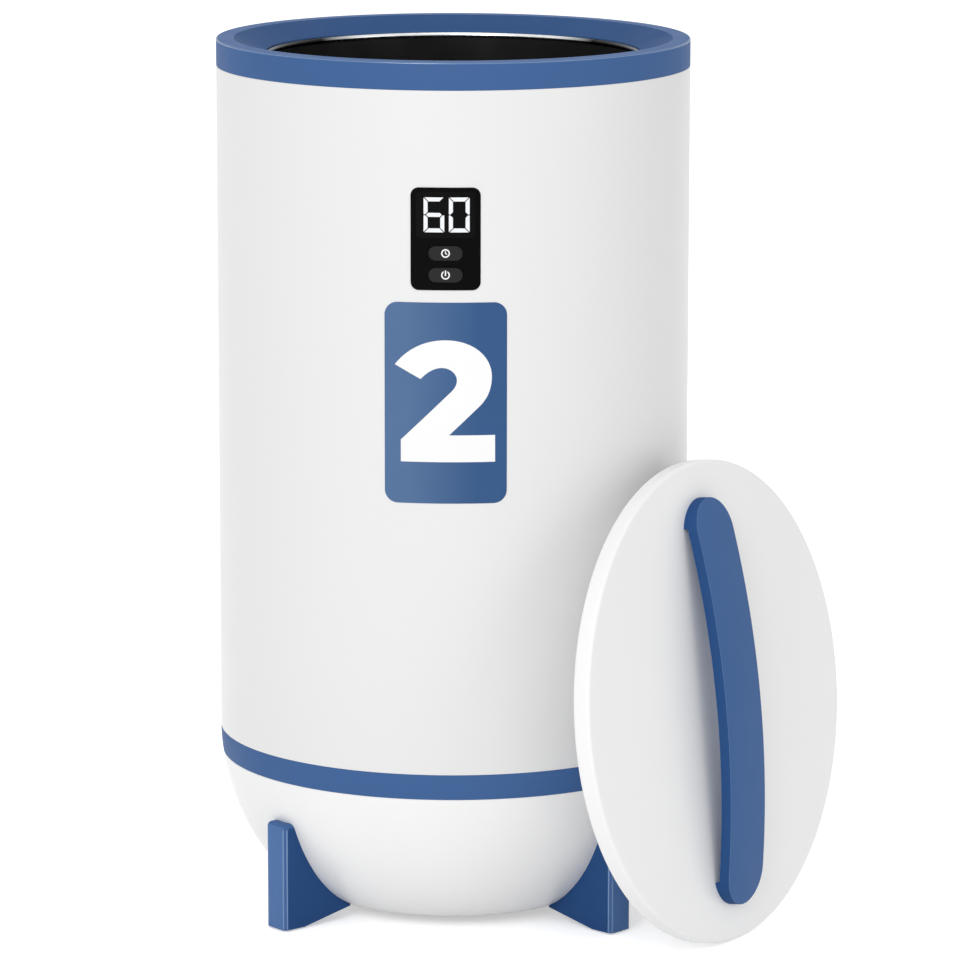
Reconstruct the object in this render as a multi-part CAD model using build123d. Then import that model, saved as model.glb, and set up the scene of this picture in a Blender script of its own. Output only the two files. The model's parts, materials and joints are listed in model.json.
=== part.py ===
from build123d import *
import os
from math import cos, sin, pi, radians, sqrt

# A towel warmer bucket: a heated pot inside a round white body on four fin feet, with its
# loose lid leaning on the body at the front right. Millimetres, +Z up, front towards -Y.
# The origin is on the floor, under the middle of the bucket.

# body
body_radius = 140.0
total_height = 520.0
shell_wall = 2.5

# clearances
seat_gap = 0.1              # between curved faces that sit on each other
thread_gap = 0.05           # around a screw in its pilot hole
hole_gap = 0.2              # around a screw in a through hole
past = 1.0                  # a cutter runs this far past the face it cuts
tip_room = 1.0              # a pilot hole is this much deeper than its screw

# top ring
ring_height = 16.0
ring_flat_width = 10.3
funnel_drop = 7.8
funnel_lip = 1.0
funnel_outer_wall = 3.4
ring_outer_wall = 5.6
skirt_depth = 10.0
ring_edge_round = 1.0

# inner pot
pot_space = 30.0            # from the body's outside to the pot's inside
pot_wall = 1.2
pot_floor_z = 62.0
pot_corner_round = 14.0
pot_flange_width = 14.8
pot_flange_drop = 14.0      # below the top of the ring
bead_radius = 1.7
mouth_gap = 0.6             # between the pot's wall and the funnel's inner edge
pot_boss_radius = 3.5
pot_screw_count = 6
pot_screw_inset = 5.0       # in from the flange's edge
gasket_width = 4.5

# heaters and insulation
heater_thickness = 1.0
side_heater_rise = 58.0     # above the pot's floor
side_heater_drop = 46.0     # below the pot's flange
side_heater_slit = 12.0
insulation_thickness = 7.6
insulation_rise = 4.0
insulation_drop = 3.0
plate_inset = 22.0          # heater plate's edge, in from the pot's radius
plate_thickness = 3.0
pad_inset = 12.0            # bottom insulation's edge, in from the pot's radius
pad_window_length = 64.0
pad_window_width = 40.0

# bowl under the body
bowl_wall = 2.5
bowl_clearance = 2.5
bowl_flat_radius = 58.9
bowl_side_power = 2.256
bowl_bottom_power = 1.786
bowl_outline_points = 13

# accent band between body and bowl
band_height = 15.0
band_top_z = 106.0
band_wall = 5.6
sleeve_up = 10.0
sleeve_down = 7.0
band_screw_count = 6
band_screw_inset = 9.0
band_boss_depth = 34.0

# tie rods from band to top ring
tie_rod_radius = 2.0
tie_rod_inset = 9.5
tie_rod_drop = 8.0          # the rod ends this far below the top
tie_nut_radius = 3.6
tie_nut_height = 3.2
tie_boss_radius = 4.2
lug_radius = 5.0

# feet
foot_azimuth = 47.2         # measured from the front and from the back
foot_width = 18.0
foot_inset = 1.0            # outer face, in from the body's radius
foot_length = 50.0
foot_height = 65.0
foot_lift = 1.0             # the rubber pad stands this much below the foot
foot_underside_rise = 6.9
foot_flat_length = 14.0
foot_edge_round = 3.0
foot_screw_inset = 34.0
foot_screw_seat_z = 11.0
foot_screw_length = 20.0
foot_pad_length = 10.0
foot_pad_width = 11.0
foot_pad_depth = 2.0
foot_pad_corner = 2.0
foot_pad_inset = 2.5

# tray that carries the pot
tray_z = 44.0
tray_thickness = 1.2
tray_margin = 9.0           # outside its screws
tray_post_radius = 6.0
tray_rim_gap = 2.5
tray_rim_wall = 1.5
tray_rim_height = 4.0

# cover in the bowl's bottom
cover_inset = 1.4           # in from the bowl's flat
cover_thickness = 3.0
cover_seat_inside = 7.0
cover_seat_outside = 5.0
cover_seat_height = 3.4
cover_screw_count = 4
cover_screw_inset = 3.4
cover_boss_gap = 0.5        # below the power board
vent_width = 3.0
vent_length = 44.0
vent_pitch = 9.0
vent_count = 5

# power board in the bowl
board_z = 17.0
board_thickness = 1.6
board_length = 104.0
board_depth = 70.0
board_post_inset_x = 5.0
board_post_inset_y = 6.0
board_post_radius = 3.5
transformer_x = -20.0
transformer_y = -14.0
core_length = 24.0
core_depth = 20.0
core_height = 18.0
coil_length = 15.0
coil_depth = 26.0
coil_round = 3.0
relay_x = 14.0
relay_y = -18.0
relay_length = 19.0
relay_depth = 15.5
relay_height = 15.0
relay_round = 0.6
capacitor_places = ((34, -14, 5.0, 20.0), (34, 0, 4.0, 14.0), (-38, 4, 3.2, 11.0))
terminal_length = 34.0
terminal_depth = 12.0
terminal_height = 10.0
terminal_front_y = 14.0
terminal_count = 4
terminal_pitch = 8.0
terminal_hole_radius = 2.0

# thermostat and fuse under the heater plate
thermostat_x = -17.0
thermostat_radius = 8.0
thermostat_height = 6.5
thermostat_neck_radius = 5.0
thermostat_neck_height = 2.0
thermostat_tab_x = 3.0
thermostat_tab_width = 4.0
thermostat_tab_thickness = 0.8
thermostat_tab_length = 3.5
fuse_x = 18.0
fuse_radius = 3.0
fuse_length = 15.0
fuse_lead_radius = 0.6
fuse_lead_length = 27.0

# control panel on the front, from its top down
panel_drop = 71.35          # below the top of the ring
panel_top_margin = 1.85
panel_low_margin = 4.55
panel_side_margin = 2.75
window_key_gap = 4.4
key_gap = 4.3
panel_corner = 4.5
panel_proud = 0.5
panel_cut_gap = 0.25
panel_flange = 3.75
panel_depth = 6.5
window_width = 34.0
window_height = 27.0
window_corner = 2.0
window_depth = 2.1
window_gap = 0.1
module_ledge_x = 2.25
module_ledge_z = 2.5
module_corner = 0.8
button_width = 19.5
button_height = 8.2
button_gap = 0.25
button_proud = 0.9
button_flange = 1.6
button_flange_thickness = 1.4
button_back_gap = 0.1
button_travel = 0.6
switch_clearance = 0.2
switch_size = 6.0
switch_corner = 0.5
plunger_length = 1.0
control_board_depth = 12.5
control_board_wider = 1.75
control_board_shorter = 1.25
control_board_corner = 2.0
control_post_inset_x = 3.3
control_post_inset_z = 3.0
control_post_radius = 2.6

# cable inside the body
harness_radius = 2.0
harness_bend = 16.0
harness_step = 9.0

# printed label under the panel
label_width = 70.0
label_height = 116.5
label_corner = 7.5
label_gap = 7.3
label_thickness = 0.2

# power inlet at the back
inlet_z = 142.0
inlet_width = 30.0
inlet_height = 22.0
inlet_wall = 2.75
inlet_flange_side = 11.0
inlet_flange_edge = 2.0
inlet_corner = 3.0
inlet_edge_round = 0.8
inlet_socket_corner = 2.5
inlet_proud = 2.0
inlet_depth = 15.5
inlet_floor = 3.0
inlet_screw_gap = 5.0
inlet_plate_thickness = 1.5
pin_width = 2.0
pin_height = 4.2
pin_corner = 0.4
pin_tip = 0.35
pin_spacing = 7.0
pin_offset = 2.0            # outer pins below the inlet's middle, the middle pin above it
pin_short = 2.5             # pins end this far inside the socket's mouth
pin_tail = 2.5

# lid
lid_overhang = 1.4
lid_thickness = 11.0
lid_skin = 2.5
lid_edge_round = 2.2
lid_pan_thickness = 2.0
plug_gap = 2.0
plug_depth = 20.6
plug_wall = 2.0
lid_foam_room = 3.0
lid_gasket_width = 4.0
lid_gasket_height = 5.0
lid_screw_count = 6
lid_screw_inset = 13.4

# lid handle
handle_margin = 21.1        # between each end and the lid's edge
handle_side_shift = -2.2    # off the lid's middle
handle_width = 39.3
handle_thickness = 6.5
handle_rise = 12.0
handle_pad_length = 16.0
handle_turn = -1.1
handle_edge_round = 0.8
handle_screw_inset = 11.0
handle_screw_reach = 5.0

# how the lid leans
lean_azimuth = 58.6
lean_angle = 7.1
lean_side_shift = 0.5
lean_gap = 0.3

# screws
small_screw_radius = 1.5
small_head_radius = 2.5
small_head_height = 1.5
small_boss_radius = 3.6
band_screw_length = 12.0
cover_screw_length = 10.0
tray_screw_length = 9.0
lid_screw_length = 8.0
inlet_screw_length = 9.0
pot_screw_radius = 1.75
pot_screw_length = 5.0
pot_head_radius = 3.2
pot_head_height = 2.2
foot_screw_radius = 2.0
foot_head_radius = 3.8
foot_head_height = 2.4
control_screw_radius = 0.9
control_screw_length = 5.0
control_head_radius = 1.9
control_head_height = 1.3

# worked out from the sizes above: top ring and pot
ring_low_z = total_height - ring_height
ring_inner_radius = body_radius - ring_flat_width
ring_wall_radius = body_radius - ring_outer_wall
shell_inner_radius = body_radius - shell_wall
skirt_radius = shell_inner_radius - seat_gap
pot_radius = body_radius - pot_space
pot_outer_radius = pot_radius + pot_wall
pot_underside_z = pot_floor_z - pot_wall
pot_flange_z = total_height - pot_flange_drop
pot_flange_radius = pot_outer_radius + pot_flange_width
pot_screw_place = pot_flange_radius - pot_screw_inset
mouth_z = total_height - funnel_drop
mouth_radius = pot_radius + mouth_gap
bead_z = mouth_z - funnel_lip - seat_gap - bead_radius
heater_inner_radius = pot_outer_radius + seat_gap
heater_outer_radius = heater_inner_radius + heater_thickness
side_heater_low = pot_floor_z + side_heater_rise
side_heater_high = pot_flange_z - side_heater_drop
insulation_inner_radius = heater_outer_radius + seat_gap
insulation_radius = insulation_inner_radius + insulation_thickness
plate_radius = pot_radius - plate_inset
plate_low_z = pot_underside_z - plate_thickness
pad_radius = pot_radius - pad_inset

# band, feet and bowl
band_low_z = band_top_z - band_height
band_inner_radius = body_radius - band_wall
band_screw_place = body_radius - band_screw_inset
lug_low_z = band_low_z - sleeve_down
tie_rod_place = body_radius - tie_rod_inset
tie_rod_top = total_height - tie_rod_drop
foot_radius = body_radius - foot_inset
foot_inner_radius = foot_radius - foot_length
foot_screw_place = foot_radius - foot_screw_inset
foot_pad_place = foot_radius - foot_pad_inset - foot_pad_length / 2
feet = (
    ("foot_front_left", 270 - foot_azimuth),
    ("foot_front_right", 270 + foot_azimuth),
    ("foot_rear_left", 90 + foot_azimuth),
    ("foot_rear_right", 90 - foot_azimuth),
)
foot_angles = [angle for name, angle in feet]
tray_top_z = tray_z + tray_thickness
tray_radius = foot_screw_place + tray_margin
cover_radius = bowl_flat_radius - cover_inset
cover_screw_place = cover_radius - cover_screw_inset
cover_screw_seat_z = bowl_clearance + small_head_height + thread_gap
board_top_z = board_z + board_thickness
board_post_x = board_length / 2 - board_post_inset_x
board_post_y = board_depth / 2 - board_post_inset_y
board_posts = [(x, y) for x in (-board_post_x, board_post_x) for y in (-board_post_y, board_post_y)]

# control panel and label
panel_top_z = total_height - panel_drop
window_centre_z = panel_top_z - panel_top_margin - window_height / 2
timer_button_z = window_centre_z - window_height / 2 - window_key_gap - button_height / 2
power_button_z = timer_button_z - button_height - key_gap
panel_low_z = power_button_z - button_height / 2 - panel_low_margin
panel_height = panel_top_z - panel_low_z
panel_centre_z = (panel_top_z + panel_low_z) / 2
panel_width = window_width + 2 * panel_side_margin
panel_reach = body_radius + panel_proud
panel_back_y = body_radius - panel_depth
window_seat_y = body_radius - window_depth
module_width = window_width - 2 * module_ledge_x
module_height = window_height - 2 * module_ledge_z
button_flange_y = panel_back_y - button_back_gap
button_back_y = button_flange_y - button_flange_thickness
plunger_end_y = button_back_y - button_travel - switch_clearance
control_board_y = body_radius - control_board_depth
control_board_back_y = control_board_y - board_thickness
control_board_width = panel_width + 2 * control_board_wider
control_board_height = panel_height - 2 * control_board_shorter
control_post_x = control_board_width / 2 - control_post_inset_x
control_post_z = control_board_height / 2 - control_post_inset_z
control_post_length = panel_back_y - control_board_y
control_post_rows = (panel_centre_z - control_post_z, panel_centre_z + control_post_z)
control_posts = [(x, z) for x in (-control_post_x, control_post_x) for z in control_post_rows]
label_centre_z = panel_low_z - label_gap - label_height / 2

# inlet
inlet_face_y = body_radius + inlet_proud
inlet_back_y = body_radius - inlet_depth
inlet_flange_width = inlet_width + 2 * inlet_flange_side
inlet_flange_height = inlet_height + 2 * inlet_flange_edge
inlet_socket_width = inlet_width - 2 * inlet_wall
inlet_socket_height = inlet_height - 2 * inlet_wall
inlet_screw_x = inlet_width / 2 + inlet_screw_gap
pin_places = (
    (-pin_spacing, inlet_z - pin_offset),
    (0, inlet_z + pin_offset),
    (pin_spacing, inlet_z - pin_offset),
)

# lid and handle
lid_radius = body_radius + lid_overhang
lid_screw_place = lid_radius - lid_screw_inset
pan_top_z = lid_pan_thickness - lid_thickness
plug_radius = pot_radius - plug_gap
handle_length = 2 * (lid_radius - handle_margin)
handle_screw_place = handle_length / 2 - handle_screw_inset
handle_turned = Pos(handle_side_shift, 0, 0) * Rot(0, 0, handle_turn)


def spun(*outline):
    """solid of revolution about Z from radius and height pairs"""
    points = [(radius, 0, height) for radius, height in outline]
    return revolve(make_face(Polyline(*points, close=True)), Axis.Z)


def disc(radius, low, high):
    return Pos(0, 0, low) * Cylinder(radius, high - low, align=(Align.CENTER, Align.CENTER, Align.MIN))


def hoop(outer, inner, low, high):
    return disc(outer, low, high) - disc(inner, low - past, high + past)


def around(radius, angles, low, high, peg_radius):
    """upright pegs at one distance from the axis, one at each angle"""
    peg = disc(peg_radius, low, high)
    return [Rot(0, 0, angle) * Pos(radius, 0, 0) * peg for angle in angles]


def even_angles(count):
    return [step * 360 / count for step in range(count)]


def slab(width, depth, low, high):
    return Pos(0, 0, low) * Box(width, depth, high - low, align=(Align.CENTER, Align.CENTER, Align.MIN))


def block_y(width, height, corner, centre_x, centre_z, start_y, end_y):
    """block with rounded corners that runs along Y"""
    plane = Plane(origin=(centre_x, start_y, centre_z), x_dir=(1, 0, 0), z_dir=(0, 1, 0))
    return extrude(plane * RectangleRounded(width, height, corner), end_y - start_y)


def front_block(width, height, corner, centre_x, centre_z, near, far):
    """the same on the front, between two distances from the axis"""
    return block_y(width, height, corner, centre_x, centre_z, -far, -near)


def tall_disc(radius):
    return disc(radius, -past, total_height + past)


def pan_screw(shank_radius, length, head_radius, head_height):
    """screw along Z with its head's seat at z = 0 and its shank below it"""
    head = fillet(disc(head_radius, 0, head_height).edges().group_by(Axis.Z)[-1], head_height / 3)
    cross_arm = head_radius * 1.1
    cross_bar = head_radius / 4
    recess = slab(cross_arm, cross_bar, head_height / 2, head_height + past)
    recess += Rot(0, 0, 90) * recess
    return disc(shank_radius, -length, 0) + head - recess


def small_screw(length):
    return pan_screw(small_screw_radius, length, small_head_radius, small_head_height)


def around_copy(shape, radius, angles):
    return [Rot(0, 0, angle) * Pos(radius, 0, 0) * shape for angle in angles]


def joined(parts):
    """several solids as one compound"""
    return Compound(children=list(parts))


def funnel_z(radius):
    """height of the ring's sloping inner face"""
    slope = funnel_drop / (ring_inner_radius - mouth_radius)
    return mouth_z + (radius - mouth_radius) * slope


def funnel_under_z(radius):
    """height of the ring's underside below the sloping face"""
    inner = mouth_z - funnel_lip
    outer = total_height - funnel_outer_wall
    return inner + (radius - mouth_radius) * (outer - inner) / (ring_inner_radius - mouth_radius)


def bowl_point(share, inset):
    """point of the bowl's outline, drawn in by an inset"""
    angle = share * pi / 2
    rim = body_radius - inset
    floor = bowl_clearance + inset
    radius = bowl_flat_radius + (rim - bowl_flat_radius) * cos(angle) ** (2 / bowl_side_power)
    height = band_top_z - (band_top_z - floor) * sin(angle) ** (2 / bowl_bottom_power)
    return radius, 0, height


def bowl_radius(height, inset):
    """radius of that outline at a height"""
    rim = body_radius - inset
    floor = bowl_clearance + inset
    rise = ((band_top_z - height) / (band_top_z - floor)) ** bowl_bottom_power
    return bowl_flat_radius + (rim - bowl_flat_radius) * (1 - rise) ** (1 / bowl_side_power)


def bowl_form(inset):
    """solid inside that outline, up to the top of the band"""
    last = bowl_outline_points - 1
    points = [bowl_point(step / last, inset) for step in range(last)]
    floor = bowl_clearance + inset
    corner = (bowl_flat_radius, 0, floor)
    side = Spline(*points, corner, tangents=[(0, 0, -1), (-1, 0, 0)])
    top_axis = (0, 0, band_top_z)
    base_axis = (0, 0, floor)
    closing = Polyline(corner, base_axis, top_axis, points[0])
    return revolve(make_face(side + closing), Axis.Z)


def make_top_ring():
    ring = spun(
        (body_radius, ring_low_z),
        (body_radius, total_height),
        (ring_inner_radius, total_height),
        (mouth_radius, mouth_z),
        (mouth_radius, mouth_z - funnel_lip),
        (ring_inner_radius, total_height - funnel_outer_wall),
        (ring_wall_radius, total_height - funnel_outer_wall),
        (ring_wall_radius, ring_low_z - skirt_depth),
        (skirt_radius, ring_low_z - skirt_depth),
        (skirt_radius, ring_low_z),
    )
    ring = fillet(ring.edges().group_by(Axis.Z)[-1], ring_edge_round)
    flange_top = pot_flange_z + pot_wall
    boss_top = funnel_z(pot_screw_place - pot_boss_radius) - funnel_lip / 2
    for boss in around(pot_screw_place, even_angles(pot_screw_count), flange_top, boss_top, pot_boss_radius):
        ring += boss
    rod_boss_top = total_height - funnel_outer_wall / 2
    for boss in around(tie_rod_place, foot_angles, ring_low_z - skirt_depth, rod_boss_top, tie_boss_radius):
        ring += boss & tall_disc(skirt_radius)
    pilot = pot_screw_radius + thread_gap
    pilot_top = flange_top + pot_screw_length + tip_room / 2
    for hole in around(pot_screw_place, even_angles(pot_screw_count), 0, pilot_top, pilot):
        ring -= hole
    for hole in around(tie_rod_place, foot_angles, 0, tie_rod_top, tie_rod_radius + thread_gap):
        ring -= hole
    return ring


def make_outer_shell():
    shell = hoop(body_radius, shell_inner_radius, band_top_z, ring_low_z)
    cut = 2 * panel_cut_gap
    shell -= front_block(
        panel_width + cut, panel_height + cut, panel_corner, 0, panel_centre_z, 0, 2 * body_radius
    )
    shell -= block_y(inlet_width + cut, inlet_height + cut, inlet_corner, 0, inlet_z, 0, 2 * body_radius)
    for hole in inlet_holes(hole_gap):
        shell -= hole
    return shell


def make_accent_band():
    rim = bowl_form(0) & slab(4 * body_radius, 4 * body_radius, band_low_z, band_top_z)
    sleeve_radius = bowl_radius(lug_low_z, bowl_wall) - seat_gap
    band = rim - disc(band_inner_radius, 0, total_height)
    band += hoop(skirt_radius, band_inner_radius, band_top_z, band_top_z + sleeve_up)
    band += hoop(sleeve_radius, band_inner_radius, lug_low_z, band_low_z)
    lugs = around(tie_rod_place, foot_angles, lug_low_z, band_low_z, lug_radius)
    lugs += around(band_screw_place, even_angles(band_screw_count), lug_low_z, band_low_z, lug_radius)
    for lug in lugs:
        band += lug & tall_disc(sleeve_radius)
    for hole in around(tie_rod_place, foot_angles, 0, total_height, tie_rod_radius + hole_gap):
        band -= hole
    screws = even_angles(band_screw_count)
    for hole in around(band_screw_place, screws, 0, total_height, small_screw_radius + hole_gap):
        band -= hole
    return band


def make_base_bowl():
    bowl = bowl_form(0) - bowl_form(bowl_wall)
    bowl -= disc(2 * body_radius, band_low_z, total_height)
    seat_z = bowl_clearance + cover_thickness + seat_gap
    seat_low = bowl_clearance + bowl_wall / 2
    opening = cover_radius - cover_seat_inside
    bowl += hoop(cover_radius + cover_seat_outside, opening, seat_low, seat_z + cover_seat_height)
    cover_angles = even_angles(cover_screw_count)
    cover_boss_top = board_z - cover_boss_gap
    for boss in around(cover_screw_place, cover_angles, seat_z, cover_boss_top, small_boss_radius):
        bowl += boss
    for x, y in board_posts:
        bowl += Pos(x, y, 0) * disc(board_post_radius, seat_low, board_z)
    trim = bowl_form(bowl_wall / 2)
    for post in around(foot_screw_place, foot_angles, 0, tray_z, tray_post_radius):
        bowl += post & trim
    screws = even_angles(band_screw_count)
    boss_low = lug_low_z - band_boss_depth
    for boss in around(band_screw_place, screws, boss_low, lug_low_z, lug_radius):
        bowl += boss & trim
    bowl -= disc(opening, 0, seat_z + 2 * cover_seat_height)
    bowl -= disc(cover_radius + hole_gap, 0, seat_z)
    pilot = small_screw_radius + thread_gap
    pilots = around(cover_screw_place, cover_angles, 0, seat_z + cover_screw_length, pilot)
    pilots += around(band_screw_place, screws, lug_low_z - band_screw_length, lug_low_z + past, pilot)
    pilots += around(foot_screw_place, foot_angles, tray_z - tray_screw_length, tray_z + past, pilot)
    foot_pilot = foot_screw_radius + thread_gap
    foot_pilot_top = foot_screw_seat_z + foot_screw_length + tip_room
    pilots += around(foot_screw_place, foot_angles, 0, foot_pilot_top, foot_pilot)
    head_pocket = foot_head_radius + hole_gap      # a flatter bowl reaches down to the screw heads
    pilots += around(foot_screw_place, foot_angles, 0, foot_screw_seat_z, head_pocket)
    for x, y in board_posts:
        pilots.append(Pos(x, y, 0) * disc(pilot, board_z - tray_screw_length, board_z + past))
    for hole in pilots:
        bowl -= hole
    return bowl


def make_base_cover():
    low = bowl_clearance
    cover = disc(cover_radius, low, low + cover_thickness)
    middle = (vent_count - 1) / 2
    for step in range(vent_count):
        vent = Pos(0, (step - middle) * vent_pitch, 0) * slab(vent_length, vent_width, 0, board_z)
        cover -= vent
    angles = even_angles(cover_screw_count)
    for hole in around(cover_screw_place, angles, 0, board_z, small_screw_radius + hole_gap):
        cover -= hole
    for hole in around(cover_screw_place, angles, 0, cover_screw_seat_z, small_head_radius + hole_gap):
        cover -= hole
    return cover


def make_base_cover_screws():
    screw = Pos(0, 0, cover_screw_seat_z) * Rot(180, 0, 0) * small_screw(cover_screw_length)
    return joined(around_copy(screw, cover_screw_place, even_angles(cover_screw_count)))


def make_foot(angle):
    top = foot_height
    flat_end = foot_radius - foot_flat_length
    inner_low = foot_lift + foot_underside_rise
    side = Polyline(
        (foot_radius, 0, foot_lift),
        (foot_radius, 0, top),
        (foot_inner_radius, 0, top),
        (foot_inner_radius, 0, inner_low),
        (flat_end, 0, foot_lift),
        close=True,
    )
    foot = extrude(make_face(side), foot_width / 2, both=True)
    upright = foot.edges().filter_by(Axis.Z)
    rounded = upright.group_by(Axis.X)[-1] + foot.edges().group_by(Axis.Z)[-1]
    foot = fillet(rounded, foot_edge_round)
    foot -= bowl_form(-seat_gap)
    foot -= Pos(foot_screw_place, 0, 0) * disc(foot_screw_radius + hole_gap, 0, foot_height)
    foot -= Pos(foot_screw_place, 0, 0) * disc(foot_head_radius + hole_gap, 0, foot_screw_seat_z)
    foot -= Pos(foot_pad_place, 0, 0) * slab(foot_pad_length, foot_pad_width, 0, foot_pad_depth)
    return Rot(0, 0, angle) * foot.solids().sort_by(SortBy.VOLUME)[-1]


def make_foot_pads():
    pad = slab(foot_pad_length, foot_pad_width, 0, foot_pad_depth)
    pad = fillet(pad.edges().filter_by(Axis.Z), foot_pad_corner)
    return joined(around_copy(pad, foot_pad_place, foot_angles))


def make_foot_screws():
    screw = pan_screw(foot_screw_radius, foot_screw_length, foot_head_radius, foot_head_height)
    screw = Pos(0, 0, foot_screw_seat_z) * Rot(180, 0, 0) * screw
    return joined(around_copy(screw, foot_screw_place, foot_angles))


def make_inner_pot():
    outside = disc(pot_outer_radius, pot_underside_z, bead_z)
    outside = fillet(outside.edges().group_by(Axis.Z)[0], pot_corner_round)
    inside = disc(pot_radius, pot_floor_z, total_height)
    inside = fillet(inside.edges().group_by(Axis.Z)[0], pot_corner_round - pot_wall)
    pot = outside + hoop(pot_flange_radius, pot_radius, pot_flange_z, pot_flange_z + pot_wall)
    pot -= inside
    pot += Pos(0, 0, bead_z) * Torus(pot_radius + pot_wall / 4, bead_radius)
    screws = even_angles(pot_screw_count)
    for hole in around(pot_screw_place, screws, 0, total_height, pot_screw_radius + hole_gap):
        pot -= hole
    return pot


def make_mouth_gasket():
    inner = pot_outer_radius + bead_radius
    outer = inner + gasket_width
    low = pot_flange_z + pot_wall
    return spun(
        (inner, low),
        (outer, low),
        (outer, funnel_under_z(outer) - seat_gap),
        (inner, funnel_under_z(inner) - seat_gap),
    )


def make_pot_screws():
    length = pot_wall + pot_screw_length
    screw = pan_screw(pot_screw_radius, length, pot_head_radius, pot_head_height)
    screw = Pos(0, 0, pot_flange_z) * Rot(180, 0, 0) * screw
    return joined(around_copy(screw, pot_screw_place, even_angles(pot_screw_count)))


def make_side_heater():
    heater = hoop(heater_outer_radius, heater_inner_radius, side_heater_low, side_heater_high)
    slit = slab(side_heater_slit, body_radius, side_heater_low - past, side_heater_high + past)
    return heater - Pos(0, body_radius, 0) * slit


def make_insulation_jacket():
    low = pot_floor_z + insulation_rise
    return hoop(insulation_radius, insulation_inner_radius, low, pot_flange_z - insulation_drop)


def make_heater_plate():
    plate = disc(plate_radius, plate_low_z, pot_underside_z)
    return fillet(plate.edges().group_by(Axis.Z)[0], plate_thickness / 3)


def make_bottom_insulation():
    pad = disc(pad_radius, tray_top_z, plate_low_z)
    return pad - slab(pad_window_length, pad_window_width, tray_z, pot_floor_z)


def make_support_tray():
    tray = disc(tray_radius, tray_z, tray_top_z)
    rim_radius = pad_radius + tray_rim_gap
    tray += hoop(rim_radius + tray_rim_wall, rim_radius, tray_top_z, tray_top_z + tray_rim_height)
    for hole in around(foot_screw_place, foot_angles, 0, total_height, small_screw_radius + hole_gap):
        tray -= hole
    tray -= slab(pad_window_length / 2, pad_window_width / 2, 0, total_height)
    return tray


def make_tray_screws():
    screw = Pos(0, 0, tray_top_z) * small_screw(tray_thickness + tray_screw_length - tip_room)
    return joined(around_copy(screw, foot_screw_place, foot_angles))


def make_thermostat():
    neck_z = plate_low_z - thermostat_height
    tab_z = neck_z - thermostat_neck_height
    body = disc(thermostat_radius, neck_z, plate_low_z)
    body += disc(thermostat_neck_radius, tab_z, neck_z)
    tab = slab(thermostat_tab_thickness, thermostat_tab_width, tab_z - thermostat_tab_length, tab_z)
    for side in (-1, 1):
        body += Pos(side * thermostat_tab_x, 0, 0) * tab
    return Pos(thermostat_x, 0, 0) * body


def make_thermal_fuse():
    fuse = Cylinder(fuse_radius, fuse_length) + Cylinder(fuse_lead_radius, fuse_lead_length)
    return Pos(fuse_x, 0, plate_low_z - fuse_radius) * Rot(90, 0, 0) * fuse


def make_power_board():
    board = slab(board_length, board_depth, board_z, board_top_z)
    for x, y in board_posts:
        board -= Pos(x, y, 0) * disc(small_screw_radius + hole_gap, 0, tray_z)
    return board


def make_board_screws():
    screw = Pos(0, 0, board_top_z) * small_screw(board_thickness + tray_screw_length - tip_room)
    return joined(Pos(x, y, 0) * screw for x, y in board_posts)


def make_transformer():
    """laminated core with its winding through it"""
    core = slab(core_length, core_depth, board_top_z, board_top_z + core_height)
    coil = slab(coil_length, coil_depth, board_top_z + coil_round, board_top_z + core_height - coil_round)
    coil = fillet(coil.edges().filter_by(Axis.Y), coil_round)
    return Pos(transformer_x, transformer_y, 0) * (core + coil)


def make_power_relay():
    relay = slab(relay_length, relay_depth, board_top_z, board_top_z + relay_height)
    return Pos(relay_x, relay_y, 0) * fillet(relay.edges().group_by(Axis.Z)[-1], relay_round)


def make_capacitors():
    cans = []
    for x, y, radius, height in capacitor_places:
        can = disc(radius, board_top_z, board_top_z + height)
        cans.append(Pos(x, y, 0) * fillet(can.edges().group_by(Axis.Z)[-1], radius / 5))
    return joined(cans)


def make_terminal_block():
    high = board_top_z + terminal_height
    block = slab(terminal_length, terminal_depth, board_top_z, high)
    middle = (terminal_count - 1) / 2
    for step in range(terminal_count):
        hole = disc(terminal_hole_radius, high - terminal_height / 2, high + past)
        block -= Pos((step - middle) * terminal_pitch, 0, 0) * hole
    return Pos(0, terminal_front_y + terminal_depth / 2, 0) * block


def make_tie_rods():
    rod = disc(tie_rod_radius, lug_low_z - tie_nut_height, tie_rod_top)
    return joined(around_copy(rod, tie_rod_place, foot_angles))


def make_tie_rod_nuts():
    low = lug_low_z - tie_nut_height
    nut = extrude(Pos(0, 0, low) * RegularPolygon(tie_nut_radius, 6), tie_nut_height)
    nut -= disc(tie_rod_radius + thread_gap, 0, total_height)
    return joined(around_copy(nut, tie_rod_place, foot_angles))


def make_band_screws():
    screw = Pos(0, 0, band_low_z) * small_screw(sleeve_down + band_screw_length - tip_room)
    return joined(around_copy(screw, band_screw_place, even_angles(band_screw_count)))


def pill(width, height, near, far, centre_z):
    """pill shape on the front, between two distances from the axis"""
    plane = Plane(origin=(0, -far, centre_z), x_dir=(1, 0, 0), z_dir=(0, 1, 0))
    return extrude(plane * SlotOverall(width, height), far - near)


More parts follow.
